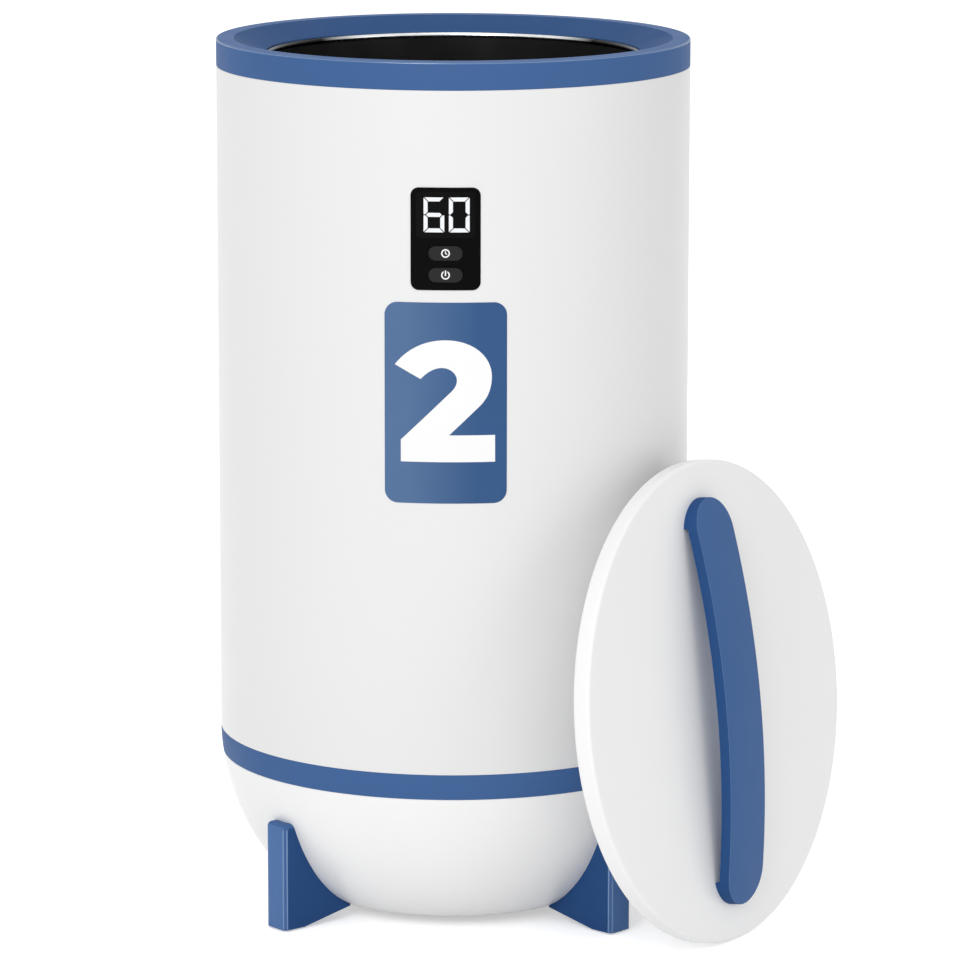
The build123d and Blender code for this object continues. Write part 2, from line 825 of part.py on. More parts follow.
def make_control_bezel():
    ahead = panel_reach + past
    bezel = front_block(panel_width, panel_height, panel_corner, 0, panel_centre_z, panel_back_y, ahead)
    bezel &= tall_disc(panel_reach)
    wide = panel_width + 2 * panel_flange
    tall = panel_height + 2 * panel_flange
    flange = front_block(wide, tall, panel_corner, 0, panel_centre_z, panel_back_y, panel_reach)
    bezel += flange & tall_disc(skirt_radius)
    bezel -= front_block(
        window_width, window_height, window_corner, 0, window_centre_z, window_seat_y, ahead
    )
    through_width = module_width + 2 * button_gap
    through_height = module_height + 2 * button_gap
    bezel -= front_block(through_width, through_height, module_corner, 0, window_centre_z, 0, ahead)
    for button_z in (timer_button_z, power_button_z):
        gap = 2 * button_gap
        bezel -= pill(button_width + gap, button_height + gap, 0, ahead, button_z)
    post = Rot(90, 0, 0) * disc(control_post_radius, 0, control_post_length + past)
    pilot = Rot(90, 0, 0) * disc(control_screw_radius + thread_gap, -past, control_screw_length)
    for x, z in control_posts:
        bezel += Pos(x, -control_board_y, z) * post
    for x, z in control_posts:
        bezel -= Pos(x, -control_board_y, z) * pilot
    return bezel


def make_display_window():
    gap = 2 * window_gap
    near = window_seat_y + window_gap
    glass = front_block(
        window_width - gap, window_height - gap, window_corner, 0, window_centre_z, near, panel_reach + past
    )
    return glass & tall_disc(panel_reach)


def make_button(centre_z):
    face = body_radius + button_proud
    cap = pill(button_width, button_height, button_back_y, face + past, centre_z)
    cap &= tall_disc(face)
    wide = button_width + 2 * button_flange
    tall = button_height + 2 * button_flange
    return cap + pill(wide, tall, button_back_y, button_flange_y, centre_z)


def make_control_board():
    board = front_block(
        control_board_width,
        control_board_height,
        control_board_corner,
        0,
        panel_centre_z,
        control_board_back_y,
        control_board_y,
    )
    hole = Rot(90, 0, 0) * disc(control_screw_radius + hole_gap, -2 * board_thickness, past)
    for x, z in control_posts:
        board -= Pos(x, -control_board_y, z) * hole
    return board


def make_display_module():
    far = window_seat_y - 2 * seat_gap
    return front_block(
        module_width, module_height, module_corner, 0, window_centre_z, control_board_y, far
    )


def make_button_switches():
    body_end_y = plunger_end_y - plunger_length
    plunger = Rot(90, 0, 0) * disc(switch_size / 4, 0, plunger_end_y - control_board_y)
    switches = []
    for centre_z in (timer_button_z, power_button_z):
        body = front_block(
            switch_size, switch_size, switch_corner, 0, centre_z, control_board_y, body_end_y
        )
        switches.append(body + Pos(0, -control_board_y, centre_z) * plunger)
    return joined(switches)


def make_control_screws():
    length = board_thickness + control_screw_length - tip_room
    screw = Rot(-90, 0, 0) * pan_screw(control_screw_radius, length, control_head_radius, control_head_height)
    return joined(Pos(x, -control_board_back_y, z) * screw for x, z in control_posts)


def make_panel_harness():
    """cable from the terminal block, up the gap behind the shell, to the control board"""
    board_middle = control_board_y - board_thickness / 2
    low = board_top_z + terminal_height / 2
    under_pot = low + harness_step
    high = lug_low_z - harness_step
    tray_pass = (tray_radius + bowl_radius(tray_z, bowl_wall)) / 2      # midway from the tray to the bowl
    lean = (board_middle - tray_pass) / (high - tray_z)
    points = [
        (0, terminal_front_y, low),
        (0, -board_depth / 2, low),
        (0, harness_bend - foot_screw_place, under_pot),
        (0, lean * (tray_z - under_pot) - tray_pass, under_pot),
        (0, -board_middle, high),
        (0, -board_middle, panel_centre_z - control_board_height / 2),
    ]
    path = FilletPolyline(*points, radius=harness_bend)
    start = Plane(origin=points[0], z_dir=(0, -1, 0))
    return sweep(start * Circle(harness_radius), path=path)


def make_front_label():
    reach = body_radius + seat_gap / 2
    label = front_block(label_width, label_height, label_corner, 0, label_centre_z, 0, body_radius + past)
    return label & hoop(reach + label_thickness, reach, band_top_z, ring_low_z)


def inlet_holes(gap):
    """the inlet's screw holes, through everything behind its flange"""
    hole = Rot(-90, 0, 0) * disc(small_screw_radius + gap, inlet_back_y, inlet_face_y + past)
    return [Pos(side * inlet_screw_x, 0, inlet_z) * hole for side in (-1, 1)]


def make_inlet_socket():
    flange = block_y(
        inlet_flange_width, inlet_flange_height, inlet_corner, 0, inlet_z, inlet_back_y, inlet_face_y
    )
    flange -= tall_disc(body_radius + seat_gap)
    flange = fillet(flange.edges().group_by(Axis.Y)[-1], inlet_edge_round)
    body = block_y(inlet_width, inlet_height, inlet_corner, 0, inlet_z, inlet_back_y, body_radius)
    socket = flange + body
    floor_y = inlet_back_y + inlet_floor
    socket -= block_y(
        inlet_socket_width, inlet_socket_height, inlet_socket_corner, 0, inlet_z, floor_y, inlet_face_y + past
    )
    for x, z in pin_places:
        gap = 2 * thread_gap
        socket -= Pos(x, inlet_back_y, z) * Box(pin_width + gap, 4 * inlet_floor, pin_height + gap)
    for hole in inlet_holes(hole_gap):
        socket -= hole
    return socket


def make_inlet_pins():
    tail = inlet_back_y - pin_tail
    tip = inlet_face_y - pin_short
    pins = []
    for x, z in pin_places:
        pin = block_y(pin_width, pin_height, pin_corner, x, z, tail, tip)
        pins.append(chamfer(pin.edges().group_by(Axis.Y)[-1], pin_tip))
    return joined(pins)


def make_inlet_plate():
    plate = block_y(inlet_flange_width, inlet_flange_height, inlet_corner, 0, inlet_z, 0, body_radius)
    outer = shell_inner_radius - seat_gap
    plate &= hoop(outer, outer - inlet_plate_thickness, band_top_z, ring_low_z)
    plate -= block_y(
        inlet_width + hole_gap, inlet_height + hole_gap, inlet_corner, 0, inlet_z, 0, body_radius
    )
    for hole in inlet_holes(thread_gap):
        plate -= hole
    return plate


def make_inlet_screws():
    screw = Rot(-90, 0, 0) * small_screw(inlet_screw_length)
    return joined(Pos(side * inlet_screw_x, inlet_face_y, inlet_z) * screw for side in (-1, 1))


def lid_place():
    """from the lid's own frame, +Z out of its top face and +Y up its face, to the leaning lid"""
    turn = radians(lean_azimuth)
    lean = radians(lean_angle)
    depth = lid_thickness + plug_depth
    distance = body_radius + lean_gap + depth * cos(lean) + plug_radius * sin(lean)
    round_centre = (lid_thickness - lid_edge_round) * sin(lean) + (lid_radius - lid_edge_round) * cos(lean)
    centre = (
        distance * sin(turn) + lean_side_shift * cos(turn),
        -distance * cos(turn) + lean_side_shift * sin(turn),
        round_centre + lid_edge_round,
    )
    outward = (sin(turn) * cos(lean), -cos(turn) * cos(lean), sin(lean))
    return Plane(origin=centre, x_dir=(cos(turn), sin(turn), 0), z_dir=outward).location


def make_lid_cover():
    cover = disc(lid_radius, -lid_thickness, 0)
    cover = fillet(cover.edges().group_by(Axis.Z)[-1], lid_edge_round)
    cover = fillet(cover.edges().group_by(Axis.Z)[0], lid_edge_round)
    cover -= disc(lid_radius - lid_skin, -lid_thickness - past, -lid_skin)
    screws = even_angles(lid_screw_count)
    for boss in around(lid_screw_place, screws, pan_top_z, -lid_skin, small_boss_radius):
        cover += boss
    for hole in around(lid_screw_place, screws, pan_top_z - past, -lid_skin, small_screw_radius + thread_gap):
        cover -= hole
    for y in (-handle_screw_place, handle_screw_place):
        cover -= handle_turned * Pos(0, y, 0) * disc(small_screw_radius + hole_gap, -lid_thickness, past)
    return cover


def make_lid_pan():
    pan = disc(lid_radius - lid_skin - hole_gap, -lid_thickness, pan_top_z)
    pan += disc(plug_radius, -lid_thickness - plug_depth, -lid_thickness)
    pan = fillet(pan.edges().group_by(Axis.Z)[0], plug_wall)
    pan -= disc(plug_radius - plug_wall, plug_wall - lid_thickness - plug_depth, 0)
    screws = even_angles(lid_screw_count)
    for hole in around(lid_screw_place, screws, -lid_thickness - past, 0, small_screw_radius + hole_gap):
        pan -= hole
    return pan


def make_lid_insulation():
    low = plug_wall - lid_thickness - plug_depth
    return disc(plug_radius - plug_wall - hole_gap, low, -lid_skin - lid_foam_room)


def make_lid_gasket():
    inner = plug_radius + seat_gap
    top = -lid_thickness
    return spun(
        (inner, top),
        (inner + lid_gasket_width, top),
        (inner + lid_gasket_width / 2, top - lid_gasket_height),
        (inner, top - lid_gasket_height),
    )


def make_pan_screws():
    screw = Pos(0, 0, -lid_thickness) * Rot(180, 0, 0) * small_screw(lid_screw_length)
    return joined(around_copy(screw, lid_screw_place, even_angles(lid_screw_count)))


def strap_arc(radius, top):
    """ends and middle of an arc along the handle, drawn a little past its ends"""
    reach = handle_length / 2 + handle_width / 4
    end_z = top - radius + sqrt(radius**2 - reach**2)
    return (0, -reach, end_z), (0, 0, top), (0, reach, end_z)


def make_lid_handle():
    half = handle_length / 2
    middle = handle_thickness + handle_rise
    outer_radius = (half**2 + handle_rise**2) / (2 * handle_rise)
    outer = strap_arc(outer_radius, middle)
    inner = strap_arc(outer_radius - handle_thickness, handle_rise)
    profile = ThreePointArc(*outer) + Line(outer[2], inner[2])
    profile += ThreePointArc(*inner) + Line(inner[0], outer[0])
    strap = extrude(make_face(profile), handle_width, both=True)
    pad = slab(2 * handle_width, 2 * handle_pad_length, 0, handle_thickness / 2)
    for side in (-1, 1):
        strap += Pos(0, side * half, 0) * pad
    stadium = Rot(0, 0, 90) * SlotOverall(handle_length, handle_width)
    handle = strap & extrude(stadium, 2 * middle)
    handle = fillet(handle.faces().sort_by(Axis.Z)[-1].edges(), handle_edge_round)
    for y in (-handle_screw_place, handle_screw_place):
        handle -= Pos(0, y, 0) * disc(small_screw_radius + thread_gap, -past, handle_screw_reach)
    return handle_turned * handle


def make_handle_screws():
    screw = Pos(0, 0, -lid_skin) * Rot(180, 0, 0) * small_screw(lid_skin + handle_screw_reach - tip_room)
    return joined(handle_turned * Pos(0, y, 0) * screw for y in (-handle_screw_place, handle_screw_place))


bucket = {
    "top_ring": make_top_ring,
    "outer_shell": make_outer_shell,
    "accent_band": make_accent_band,
    "base_bowl": make_base_bowl,
    "base_cover": make_base_cover,
    "base_cover_screws": make_base_cover_screws,
    "foot_pads": make_foot_pads,
    "foot_screws": make_foot_screws,
    "inner_pot": make_inner_pot,
    "mouth_gasket": make_mouth_gasket,
    "pot_screws": make_pot_screws,
    "side_heater": make_side_heater,
    "insulation_jacket": make_insulation_jacket,
    "heater_plate": make_heater_plate,
    "bottom_insulation": make_bottom_insulation,
    "support_tray": make_support_tray,
    "tray_screws": make_tray_screws,
    "thermostat": make_thermostat,
    "thermal_fuse": make_thermal_fuse,
    "power_board": make_power_board,
    "board_screws": make_board_screws,
    "transformer": make_transformer,
    "power_relay": make_power_relay,
    "capacitors": make_capacitors,
    "terminal_block": make_terminal_block,
    "tie_rods": make_tie_rods,
    "tie_rod_nuts": make_tie_rod_nuts,
    "band_screws": make_band_screws,
    "control_bezel": make_control_bezel,
    "display_window": make_display_window,
    "control_board": make_control_board,
    "display_module": make_display_module,
    "button_switches": make_button_switches,
    "control_screws": make_control_screws,
    "panel_harness": make_panel_harness,
    "front_label": make_front_label,
    "inlet_socket": make_inlet_socket,
    "inlet_pins": make_inlet_pins,
    "inlet_plate": make_inlet_plate,
    "inlet_screws": make_inlet_screws,
}
lid = {
    "lid_cover": make_lid_cover,
    "lid_pan": make_lid_pan,
    "lid_insulation": make_lid_insulation,
    "lid_gasket": make_lid_gasket,
    "pan_screws": make_pan_screws,
    "lid_handle": make_lid_handle,
    "handle_screws": make_handle_screws,
}

os.makedirs("parts", exist_ok=True)
shapes = {name: make() for name, make in bucket.items()}
for name, angle in feet:
    shapes[name] = make_foot(angle)
shapes["timer_button"] = make_button(timer_button_z)
shapes["power_button"] = make_button(power_button_z)
placed = lid_place()
for name, make in lid.items():
    shapes[name] = placed * make()
for name, shape in shapes.items():
    export_step(shape, "parts/" + name + ".step")
print(len(shapes), "nodes written")
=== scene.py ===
import json
import math
import bpy
from mathutils import Matrix, Vector


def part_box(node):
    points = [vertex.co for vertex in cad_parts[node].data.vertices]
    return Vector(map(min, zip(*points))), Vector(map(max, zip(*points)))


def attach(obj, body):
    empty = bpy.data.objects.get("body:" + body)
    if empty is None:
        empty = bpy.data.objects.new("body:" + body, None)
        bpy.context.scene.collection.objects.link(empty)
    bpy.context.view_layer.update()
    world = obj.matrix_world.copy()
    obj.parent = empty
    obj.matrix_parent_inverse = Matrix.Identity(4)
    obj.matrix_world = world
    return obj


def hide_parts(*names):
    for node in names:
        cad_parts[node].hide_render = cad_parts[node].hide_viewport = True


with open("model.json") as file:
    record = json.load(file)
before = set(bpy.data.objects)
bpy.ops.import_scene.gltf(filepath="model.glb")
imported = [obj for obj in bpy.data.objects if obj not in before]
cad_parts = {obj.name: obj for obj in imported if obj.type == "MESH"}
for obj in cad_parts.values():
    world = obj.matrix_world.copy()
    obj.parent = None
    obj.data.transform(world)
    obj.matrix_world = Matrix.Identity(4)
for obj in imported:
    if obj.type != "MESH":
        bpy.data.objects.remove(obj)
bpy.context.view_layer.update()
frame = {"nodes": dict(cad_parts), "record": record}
mm = 0.001
print("frame loaded")

# camera: where the picture was taken from
cameraSettings = {
    "place": (99.3 * mm, -3175.7 * mm, 854.5 * mm),
    "turn": 0.0262,        # towards -X
    "dip": 0.1869,
    "roll": 0.0012,
    "sensor": 36.0,
    "lens": 202.3,
    "nearest": 0.05,
    "farthest": 60,
}


def makeCamera():
    s = cameraSettings
    data = bpy.data.cameras.new("camera")
    data.sensor_width = s["sensor"]
    data.lens = s["lens"]
    data.clip_start = s["nearest"]
    data.clip_end = s["farthest"]
    camera = bpy.data.objects.new("camera", data)
    bpy.context.scene.collection.objects.link(camera)
    aim = Matrix.Rotation(s["turn"], 4, "Z") @ Matrix.Rotation(math.pi / 2 - s["dip"], 4, "X")
    camera.matrix_world = Matrix.Translation(s["place"]) @ aim @ Matrix.Rotation(s["roll"], 4, "Z")
    bpy.context.scene.camera = camera


makeCamera()
print("camera set")


# materials
def newMaterial(name):
    material = bpy.data.materials.new(name)
    material.use_nodes = True
    nodes = material.node_tree.nodes
    return material, nodes, material.node_tree.links, nodes["Principled BSDF"]


def noiseOn(nodes, links, scale, detail=3.0, stretch=(1, 1, 1)):
    place = nodes.new("ShaderNodeTexCoord")
    mapping = nodes.new("ShaderNodeMapping")
    mapping.inputs["Scale"].default_value = stretch
    noise = nodes.new("ShaderNodeTexNoise")
    noise.inputs["Scale"].default_value = scale
    noise.inputs["Detail"].default_value = detail
    links.new(place.outputs["Object"], mapping.inputs["Vector"])
    links.new(mapping.outputs["Vector"], noise.inputs["Vector"])
    return noise


def spread(nodes, links, source, low, high, fromLow=0.3, fromHigh=0.7):
    ramp = nodes.new("ShaderNodeMapRange")
    ramp.inputs["From Min"].default_value = fromLow
    ramp.inputs["From Max"].default_value = fromHigh
    ramp.inputs["To Min"].default_value = low
    ramp.inputs["To Max"].default_value = high
    links.new(source, ramp.inputs["Value"])
    return ramp.outputs["Result"]


def tinted(nodes, links, source, colour, change):
    mix = nodes.new("ShaderNodeMix")
    mix.data_type = "RGBA"
    darker = [c * (1 - change) for c in colour]
    lighter = [min(1, c * (1 + change)) for c in colour]
    mix.inputs["A"].default_value = (*darker, 1)
    mix.inputs["B"].default_value = (*lighter, 1)
    links.new(spread(nodes, links, source, 0, 1), mix.inputs["Factor"])
    return mix.outputs["Result"]


def bumped(nodes, links, source, shader, strength, depth):
    bump = nodes.new("ShaderNodeBump")
    bump.inputs["Strength"].default_value = strength
    bump.inputs["Distance"].default_value = depth
    links.new(source, bump.inputs["Height"])
    links.new(bump.outputs["Normal"], shader.inputs["Normal"])


# moulded plastic: slow flow of the resin in the colour, patchy sheen, fine mould grain
def moulded(name, colour, sheen, grain=900, grainDepth=0.00002, change=0.02, shine=0.5):
    material, nodes, links, shader = newMaterial(name)
    flow = noiseOn(nodes, links, 6.0, 2.0, (1, 1, 0.35))
    fine = noiseOn(nodes, links, grain, 4.0)
    patch = noiseOn(nodes, links, 38.0, 4.0)
    links.new(tinted(nodes, links, flow.outputs["Fac"], colour, change), shader.inputs["Base Color"])
    links.new(spread(nodes, links, patch.outputs["Fac"], *sheen), shader.inputs["Roughness"])
    shader.inputs["Specular IOR Level"].default_value = shine
    bumped(nodes, links, fine.outputs["Fac"], shader, 0.12, grainDepth)
    return material


def metal(name, colour, sheen, scratchStretch=(1, 1, 40)):
    material, nodes, links, shader = newMaterial(name)
    shader.inputs["Metallic"].default_value = 1.0
    scratch = noiseOn(nodes, links, 60.0, 5.0, scratchStretch)
    cloud = noiseOn(nodes, links, 30.0)
    links.new(tinted(nodes, links, cloud.outputs["Fac"], colour, 0.06), shader.inputs["Base Color"])
    links.new(spread(nodes, links, scratch.outputs["Fac"], *sheen), shader.inputs["Roughness"])
    bumped(nodes, links, scratch.outputs["Fac"], shader, 0.08, 0.00003)
    return material


def wadding(name, colour):
    material, nodes, links, shader = newMaterial(name)
    tuft = noiseOn(nodes, links, 160.0, 8.0, (1, 1, 0.4))
    links.new(tinted(nodes, links, tuft.outputs["Fac"], colour, 0.15), shader.inputs["Base Color"])
    shader.inputs["Roughness"].default_value = 0.95
    bumped(nodes, links, tuft.outputs["Fac"], shader, 0.8, 0.001)
    return material


colours = {
    "white": (0.90, 0.90, 0.90),
    "shell": (0.80, 0.80, 0.80),
    "blue": (0.052, 0.124, 0.302),
    "bluePaintedHighlight": (0.100, 0.200, 0.400),      # rounded edges: shinier, with a painted highlight in their lighter colour
    "bluePaintedShadeSide": (0.021, 0.070, 0.205),      # the flat sides of the handle and the feet: painted shade, darker and rougher than the blue
    "blueFunnelPaintedShade": (0.030, 0.084, 0.222),    # the slope inside the ring: painted shade, darker than the blue
    "blueFootPaintedLight": (0.074, 0.165, 0.380),      # the feet's outer ends: painted light, lighter than the blue
    "black": (0.0022, 0.0022, 0.0022),
    "key": (0.014, 0.014, 0.014),
    # painted highlight for the keys' lower edges, lighter than the keys
    "keyPaintedHighlight": (0.03, 0.03, 0.03),
    "pot": (0.009, 0.0085, 0.008),
    "rubber": (0.022, 0.022, 0.023),
    "silicone": (0.30, 0.30, 0.31),
    "heater": (0.36, 0.10, 0.035),
    "component": (0.022, 0.022, 0.024),
    "winding": (0.60, 0.42, 0.05),
    "board": (0.012, 0.10, 0.035),
    "cable": (0.03, 0.03, 0.032),
    "fibre": (0.70, 0.67, 0.58),
    "aluminium": (0.72, 0.73, 0.74),
    "zinc": (0.56, 0.57, 0.58),
    "brass": (0.74, 0.56, 0.26),
}
finishes = {
    "white_plastic": moulded("whitePlastic", colours["white"], (0.30, 0.38)),
    "white_shell": moulded("whiteShell", colours["shell"], (0.30, 0.34), change=0.010, shine=0.35),
    "blue_plastic": moulded("bluePlastic", colours["blue"], (0.52, 0.60), change=0.04, shine=0.12),
    "black_gloss": moulded("blackGloss", colours["black"], (0.10, 0.16), 500, 0.000005, shine=0.03),
    "smoked_window": moulded("smokedWindow", colours["black"], (0.05, 0.09), 500, 0.000005, shine=0.05),
    "key_plastic": moulded("keyPlastic", colours["key"], (0.34, 0.42), shine=0.15),
    "pot_coating": moulded("potCoating", colours["pot"], (0.26, 0.36), 1500, 0.00003, shine=0.3),
    "rubber_black": moulded("rubberBlack", colours["rubber"], (0.75, 0.85), 700, 0.0001),
    "silicone_grey": moulded("siliconeGrey", colours["silicone"], (0.5, 0.6)),
    "heater_mat": moulded("heaterMat", colours["heater"], (0.6, 0.7)),
    "component_black": moulded("componentBlack", colours["component"], (0.4, 0.55)),
    "component_yellow": moulded("componentYellow", colours["winding"], (0.35, 0.5)),
    "circuit_board": moulded("circuitBoard", colours["board"], (0.25, 0.35)),
    "cable_sheath": moulded("cableSheath", colours["cable"], (0.45, 0.55)),
    "insulation": wadding("insulation", colours["fibre"]),
    "aluminium": metal("aluminium", colours["aluminium"], (0.25, 0.42)),
    "steel": metal("zincSteel", colours["zinc"], (0.22, 0.40)),
    "brass": metal("platedBrass", colours["brass"], (0.18, 0.32)),
}
printedWhite = moulded("printedWhite", colours["white"], (0.42, 0.50), 1200, 0.00001)
# colours for chosen faces: painted highlight on edges, painted shade on sides and slopes, painted light on
# the feet's ends
bluePaintedHighlight = moulded("bluePaintedHighlightEdge", colours["bluePaintedHighlight"], (0.20, 0.26), change=0.03, shine=1.0)
bluePaintedShadeSide = moulded("bluePaintedShadeRoughSide", colours["bluePaintedShadeSide"], (0.62, 0.70), change=0.05, shine=0.08)
funnelPaintedShade = moulded("blueFunnelPaintedShade", colours["blueFunnelPaintedShade"], (0.60, 0.68), change=0.04, shine=0.08)
footEndPaintedLight = moulded("blueFootEndPaintedLight", colours["blueFootPaintedLight"], (0.46, 0.54), change=0.04, shine=0.15)
keyPaintedHighlight = moulded("keyPaintedHighlightEdge", colours["keyPaintedHighlight"], (0.14, 0.20), shine=1.0)


# how far a place along one axis has gone from low to high, as 0 to 1
def along(nodes, links, axis, low, high):
    place = nodes.new("ShaderNodeTexCoord")
    parts = nodes.new("ShaderNodeSeparateXYZ")
    links.new(place.outputs["Object"], parts.inputs["Vector"])
    return spread(nodes, links, parts.outputs[axis], 0, 1, low, high)


def blended(nodes, links, factor, first, second):
    mix = nodes.new("ShaderNodeMix")
    mix.data_type = "RGBA"
    links.new(factor, mix.inputs["Factor"])
    for name, source in (("A", first), ("B", second)):
        if isinstance(source, tuple):
            mix.inputs[name].default_value = (*source, 1)
        else:
            links.new(source, mix.inputs[name])
    return mix.outputs["Result"]


# the rolled lip: metal with a painted reflection, bright at the back of the mouth, coated dark elsewhere
lipFinish = {
    "coated": (0.012, 0.012, 0.012),
    "bright": (0.78, 0.79, 0.80),
    "change": 0.05,
    "brightFrom": 72 * mm,       # places along Y
    "brightTo": 92 * mm,
    "cloud": 220.0,
    "sheen": (0.20, 0.28),
}


def makePaintedReflectionLip():
    s = lipFinish
    material, nodes, links, shader = newMaterial("paintedReflectionLip")
    shader.inputs["Metallic"].default_value = 1.0
    cloud = noiseOn(nodes, links, s["cloud"])
    bright = tinted(nodes, links, cloud.outputs["Fac"], s["bright"], s["change"])
    # painted reflection: the lip turns bright towards the back of the mouth
    paintedReflection = along(nodes, links, "Y", s["brightFrom"], s["brightTo"])
    links.new(blended(nodes, links, paintedReflection, s["coated"], bright), shader.inputs["Base Color"])
    links.new(spread(nodes, links, cloud.outputs["Fac"], *s["sheen"]), shader.inputs["Roughness"])
    return material


# the printed film, with a painted sheen: paler towards the left, darker towards the right
filmFinish = {
    "left": (0.074, 0.148, 0.296),
    "right": (0.026, 0.086, 0.224),
    "change": 0.03,
    "leftEnd": -22 * mm,         # places along X
    "rightStart": 18 * mm,
    "weave": 900.0,
    "cloud": 40.0,
    "sheen": (0.36, 0.44),
    "shine": 0.25,
    "grainDepth": 0.01 * mm,
}


def makeLabelFilm():
    s = filmFinish
    material, nodes, links, shader = newMaterial("labelFilm")
    weave = noiseOn(nodes, links, s["weave"], 4.0)
    cloud = noiseOn(nodes, links, s["cloud"], 4.0)
    left = tinted(nodes, links, cloud.outputs["Fac"], s["left"], s["change"])
    right = tinted(nodes, links, cloud.outputs["Fac"], s["right"], s["change"])
    # painted sheen: the colour goes from the paler left to the darker right
    across = along(nodes, links, "X", s["leftEnd"], s["rightStart"])
    links.new(blended(nodes, links, across, left, right), shader.inputs["Base Color"])
    links.new(spread(nodes, links, cloud.outputs["Fac"], *s["sheen"]), shader.inputs["Roughness"])
    shader.inputs["Specular IOR Level"].default_value = s["shine"]
    bumped(nodes, links, weave.outputs["Fac"], shader, 0.10, s["grainDepth"])
    return material


paintedReflectionLip = makePaintedReflectionLip()
finishes["label_film"] = makeLabelFilm()


# lit segments: a white glow, a little uneven as a diffuser is
litFinish = {
    "glow": (0.88, 0.90, 0.93),
    "change": 0.05,
    "strength": 0.95,
    "unlit": (0.05, 0.05, 0.05),
    "roughness": 0.3,
    "cloud": 260.0,
}


def makeLitWhite():
    s = litFinish
    material, nodes, links, shader = newMaterial("litWhite")
    cloud = noiseOn(nodes, links, s["cloud"])
    glow = tinted(nodes, links, cloud.outputs["Fac"], s["glow"], s["change"])
    links.new(glow, shader.inputs["Emission Color"])
    shader.inputs["Emission Strength"].default_value = s["strength"]
    shader.inputs["Base Color"].default_value = (*s["unlit"], 1)
    shader.inputs["Roughness"].default_value = s["roughness"]
    return material


litWhite = makeLitWhite()
for row in frame["record"]["subparts"]:
    node = frame["nodes"][row["node"]]
    node.data.materials.clear()
    node.data.materials.append(finishes[row["material_slot"]])
print("finishes made:", len(finishes))


# modelling helpers
roundSteps = 256            # points round a turned shape


def startPiece():
    if bpy.context.object and bpy.context.object.mode != "OBJECT":
        bpy.ops.object.mode_set(mode="OBJECT")
    bpy.ops.object.select_all(action="DESELECT")


def pick(*pieces):
    startPiece()
    for piece in pieces:
        piece.select_set(True)
    bpy.context.view_layer.objects.active = pieces[0]


def applied(piece, kind, **settings):
    pick(piece)
    modifier = piece.modifiers.new("step", kind)
    for name, value in settings.items():
        setattr(modifier, name, value)
    bpy.ops.object.modifier_apply(modifier=modifier.name)


def softEdges(piece, width, segments=3, angle=0.6):
    applied(piece, "BEVEL", width=width, segments=segments, limit_method="ANGLE", angle_limit=angle)


def combined(piece, other, operation="DIFFERENCE"):
    applied(piece, "BOOLEAN", operation=operation, object=other, solver="EXACT")
    pick(other)
    bpy.ops.object.delete()
    return piece


def settled(piece):
    pick(piece)
    bpy.ops.object.transform_apply(location=True, rotation=True, scale=True)
    return piece


def placed(piece, place):
    piece.matrix_world = place @ piece.matrix_world
    return settled(piece)


def done(piece, body, slotName, *nodes, smooth=0.6, finish=None):
    settled(piece)
    bpy.ops.object.shade_smooth_by_angle(angle=smooth)
    piece.data.materials.clear()
    piece.data.materials.append(finish or finishes[slotName])
    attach(piece, body)
    if nodes:
        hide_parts(*nodes)
    return piece


# gives the chosen faces a colour of their own: painted highlight, painted light or painted shade
def paintLightOnFaces(piece, wanted, finish=None):
    piece.data.materials.append(finish or bluePaintedHighlight)
    last = len(piece.data.materials) - 1
    for face in piece.data.polygons:
        if wanted(face.center, face.normal):
            face.material_index = last


def edit(piece, mode="EDGE"):
    pick(piece)
    bpy.ops.object.mode_set(mode="EDIT")
    bpy.ops.mesh.select_mode(type=mode)
    bpy.ops.mesh.select_all(action="DESELECT")


def chooseEdges(piece, wanted):
    edit(piece)
    bpy.ops.object.mode_set(mode="OBJECT")
    for edge in piece.data.edges:
        edge.select = wanted(*[piece.data.vertices[i].co for i in edge.vertices])
    bpy.ops.object.mode_set(mode="EDIT")


def chooseVertices(piece, wanted):
    edit(piece, "VERT")
    bpy.ops.object.mode_set(mode="OBJECT")
    for vertex in piece.data.vertices:
        vertex.select = wanted(vertex.co)
    bpy.ops.object.mode_set(mode="EDIT")


def closed(piece):
    edit(piece, "VERT")
    bpy.ops.mesh.select_all(action="SELECT")
    bpy.ops.mesh.remove_doubles(threshold=1e-6)
    bpy.ops.mesh.fill_holes(sides=0)
    bpy.ops.mesh.select_all(action="SELECT")
    bpy.ops.mesh.normals_make_consistent(inside=False)
    bpy.ops.object.mode_set(mode="OBJECT")
    return piece


# a loop of corners (radius, height, rounding) with its round corners drawn as arcs
def softened(corners, steps=5):
    outline = []
    for i, (x, z, rounding) in enumerate(corners):
        here = Vector((x, z))
        if not rounding:
            outline.append(here)
            continue
        before = (Vector(corners[i - 1][:2]) - here).normalized()
        after = (Vector(corners[(i + 1) % len(corners)][:2]) - here).normalized()
        half = before.angle(after) / 2
        middle = here + (before + after).normalized() * rounding / math.sin(half)
        start = here + before * rounding / math.tan(half) - middle
        turn = start.angle_signed(here + after * rounding / math.tan(half) - middle)
        for step in range(steps + 1):
            outline.append(middle + Matrix.Rotation(-turn * step / steps, 2) @ start)
    return outline


# carry a circle through every point of an outline; a loop closes on its first point
def lathe(name, outline, loop=True, steps=roundSteps):
    points = [Vector(p) for p in outline] + ([Vector(outline[0])] if loop else [])
    startPiece()
    bpy.ops.mesh.primitive_circle_add(vertices=steps, radius=points[0].x, location=(0, 0, points[0].y))
    piece = bpy.context.object
    piece.name = name
    bpy.ops.object.mode_set(mode="EDIT")
    bpy.ops.mesh.select_all(action="SELECT")
    for last, point in zip(points, points[1:]):
        rise = {"value": (0, 0, point.y - last.y)}
        bpy.ops.mesh.extrude_region_move(TRANSFORM_OT_translate=rise)
        share = point.x / last.x
        bpy.ops.transform.resize(value=(share, share, 1), center_override=(0, 0, point.y))
    bpy.ops.object.mode_set(mode="OBJECT")
    return closed(settled(piece))


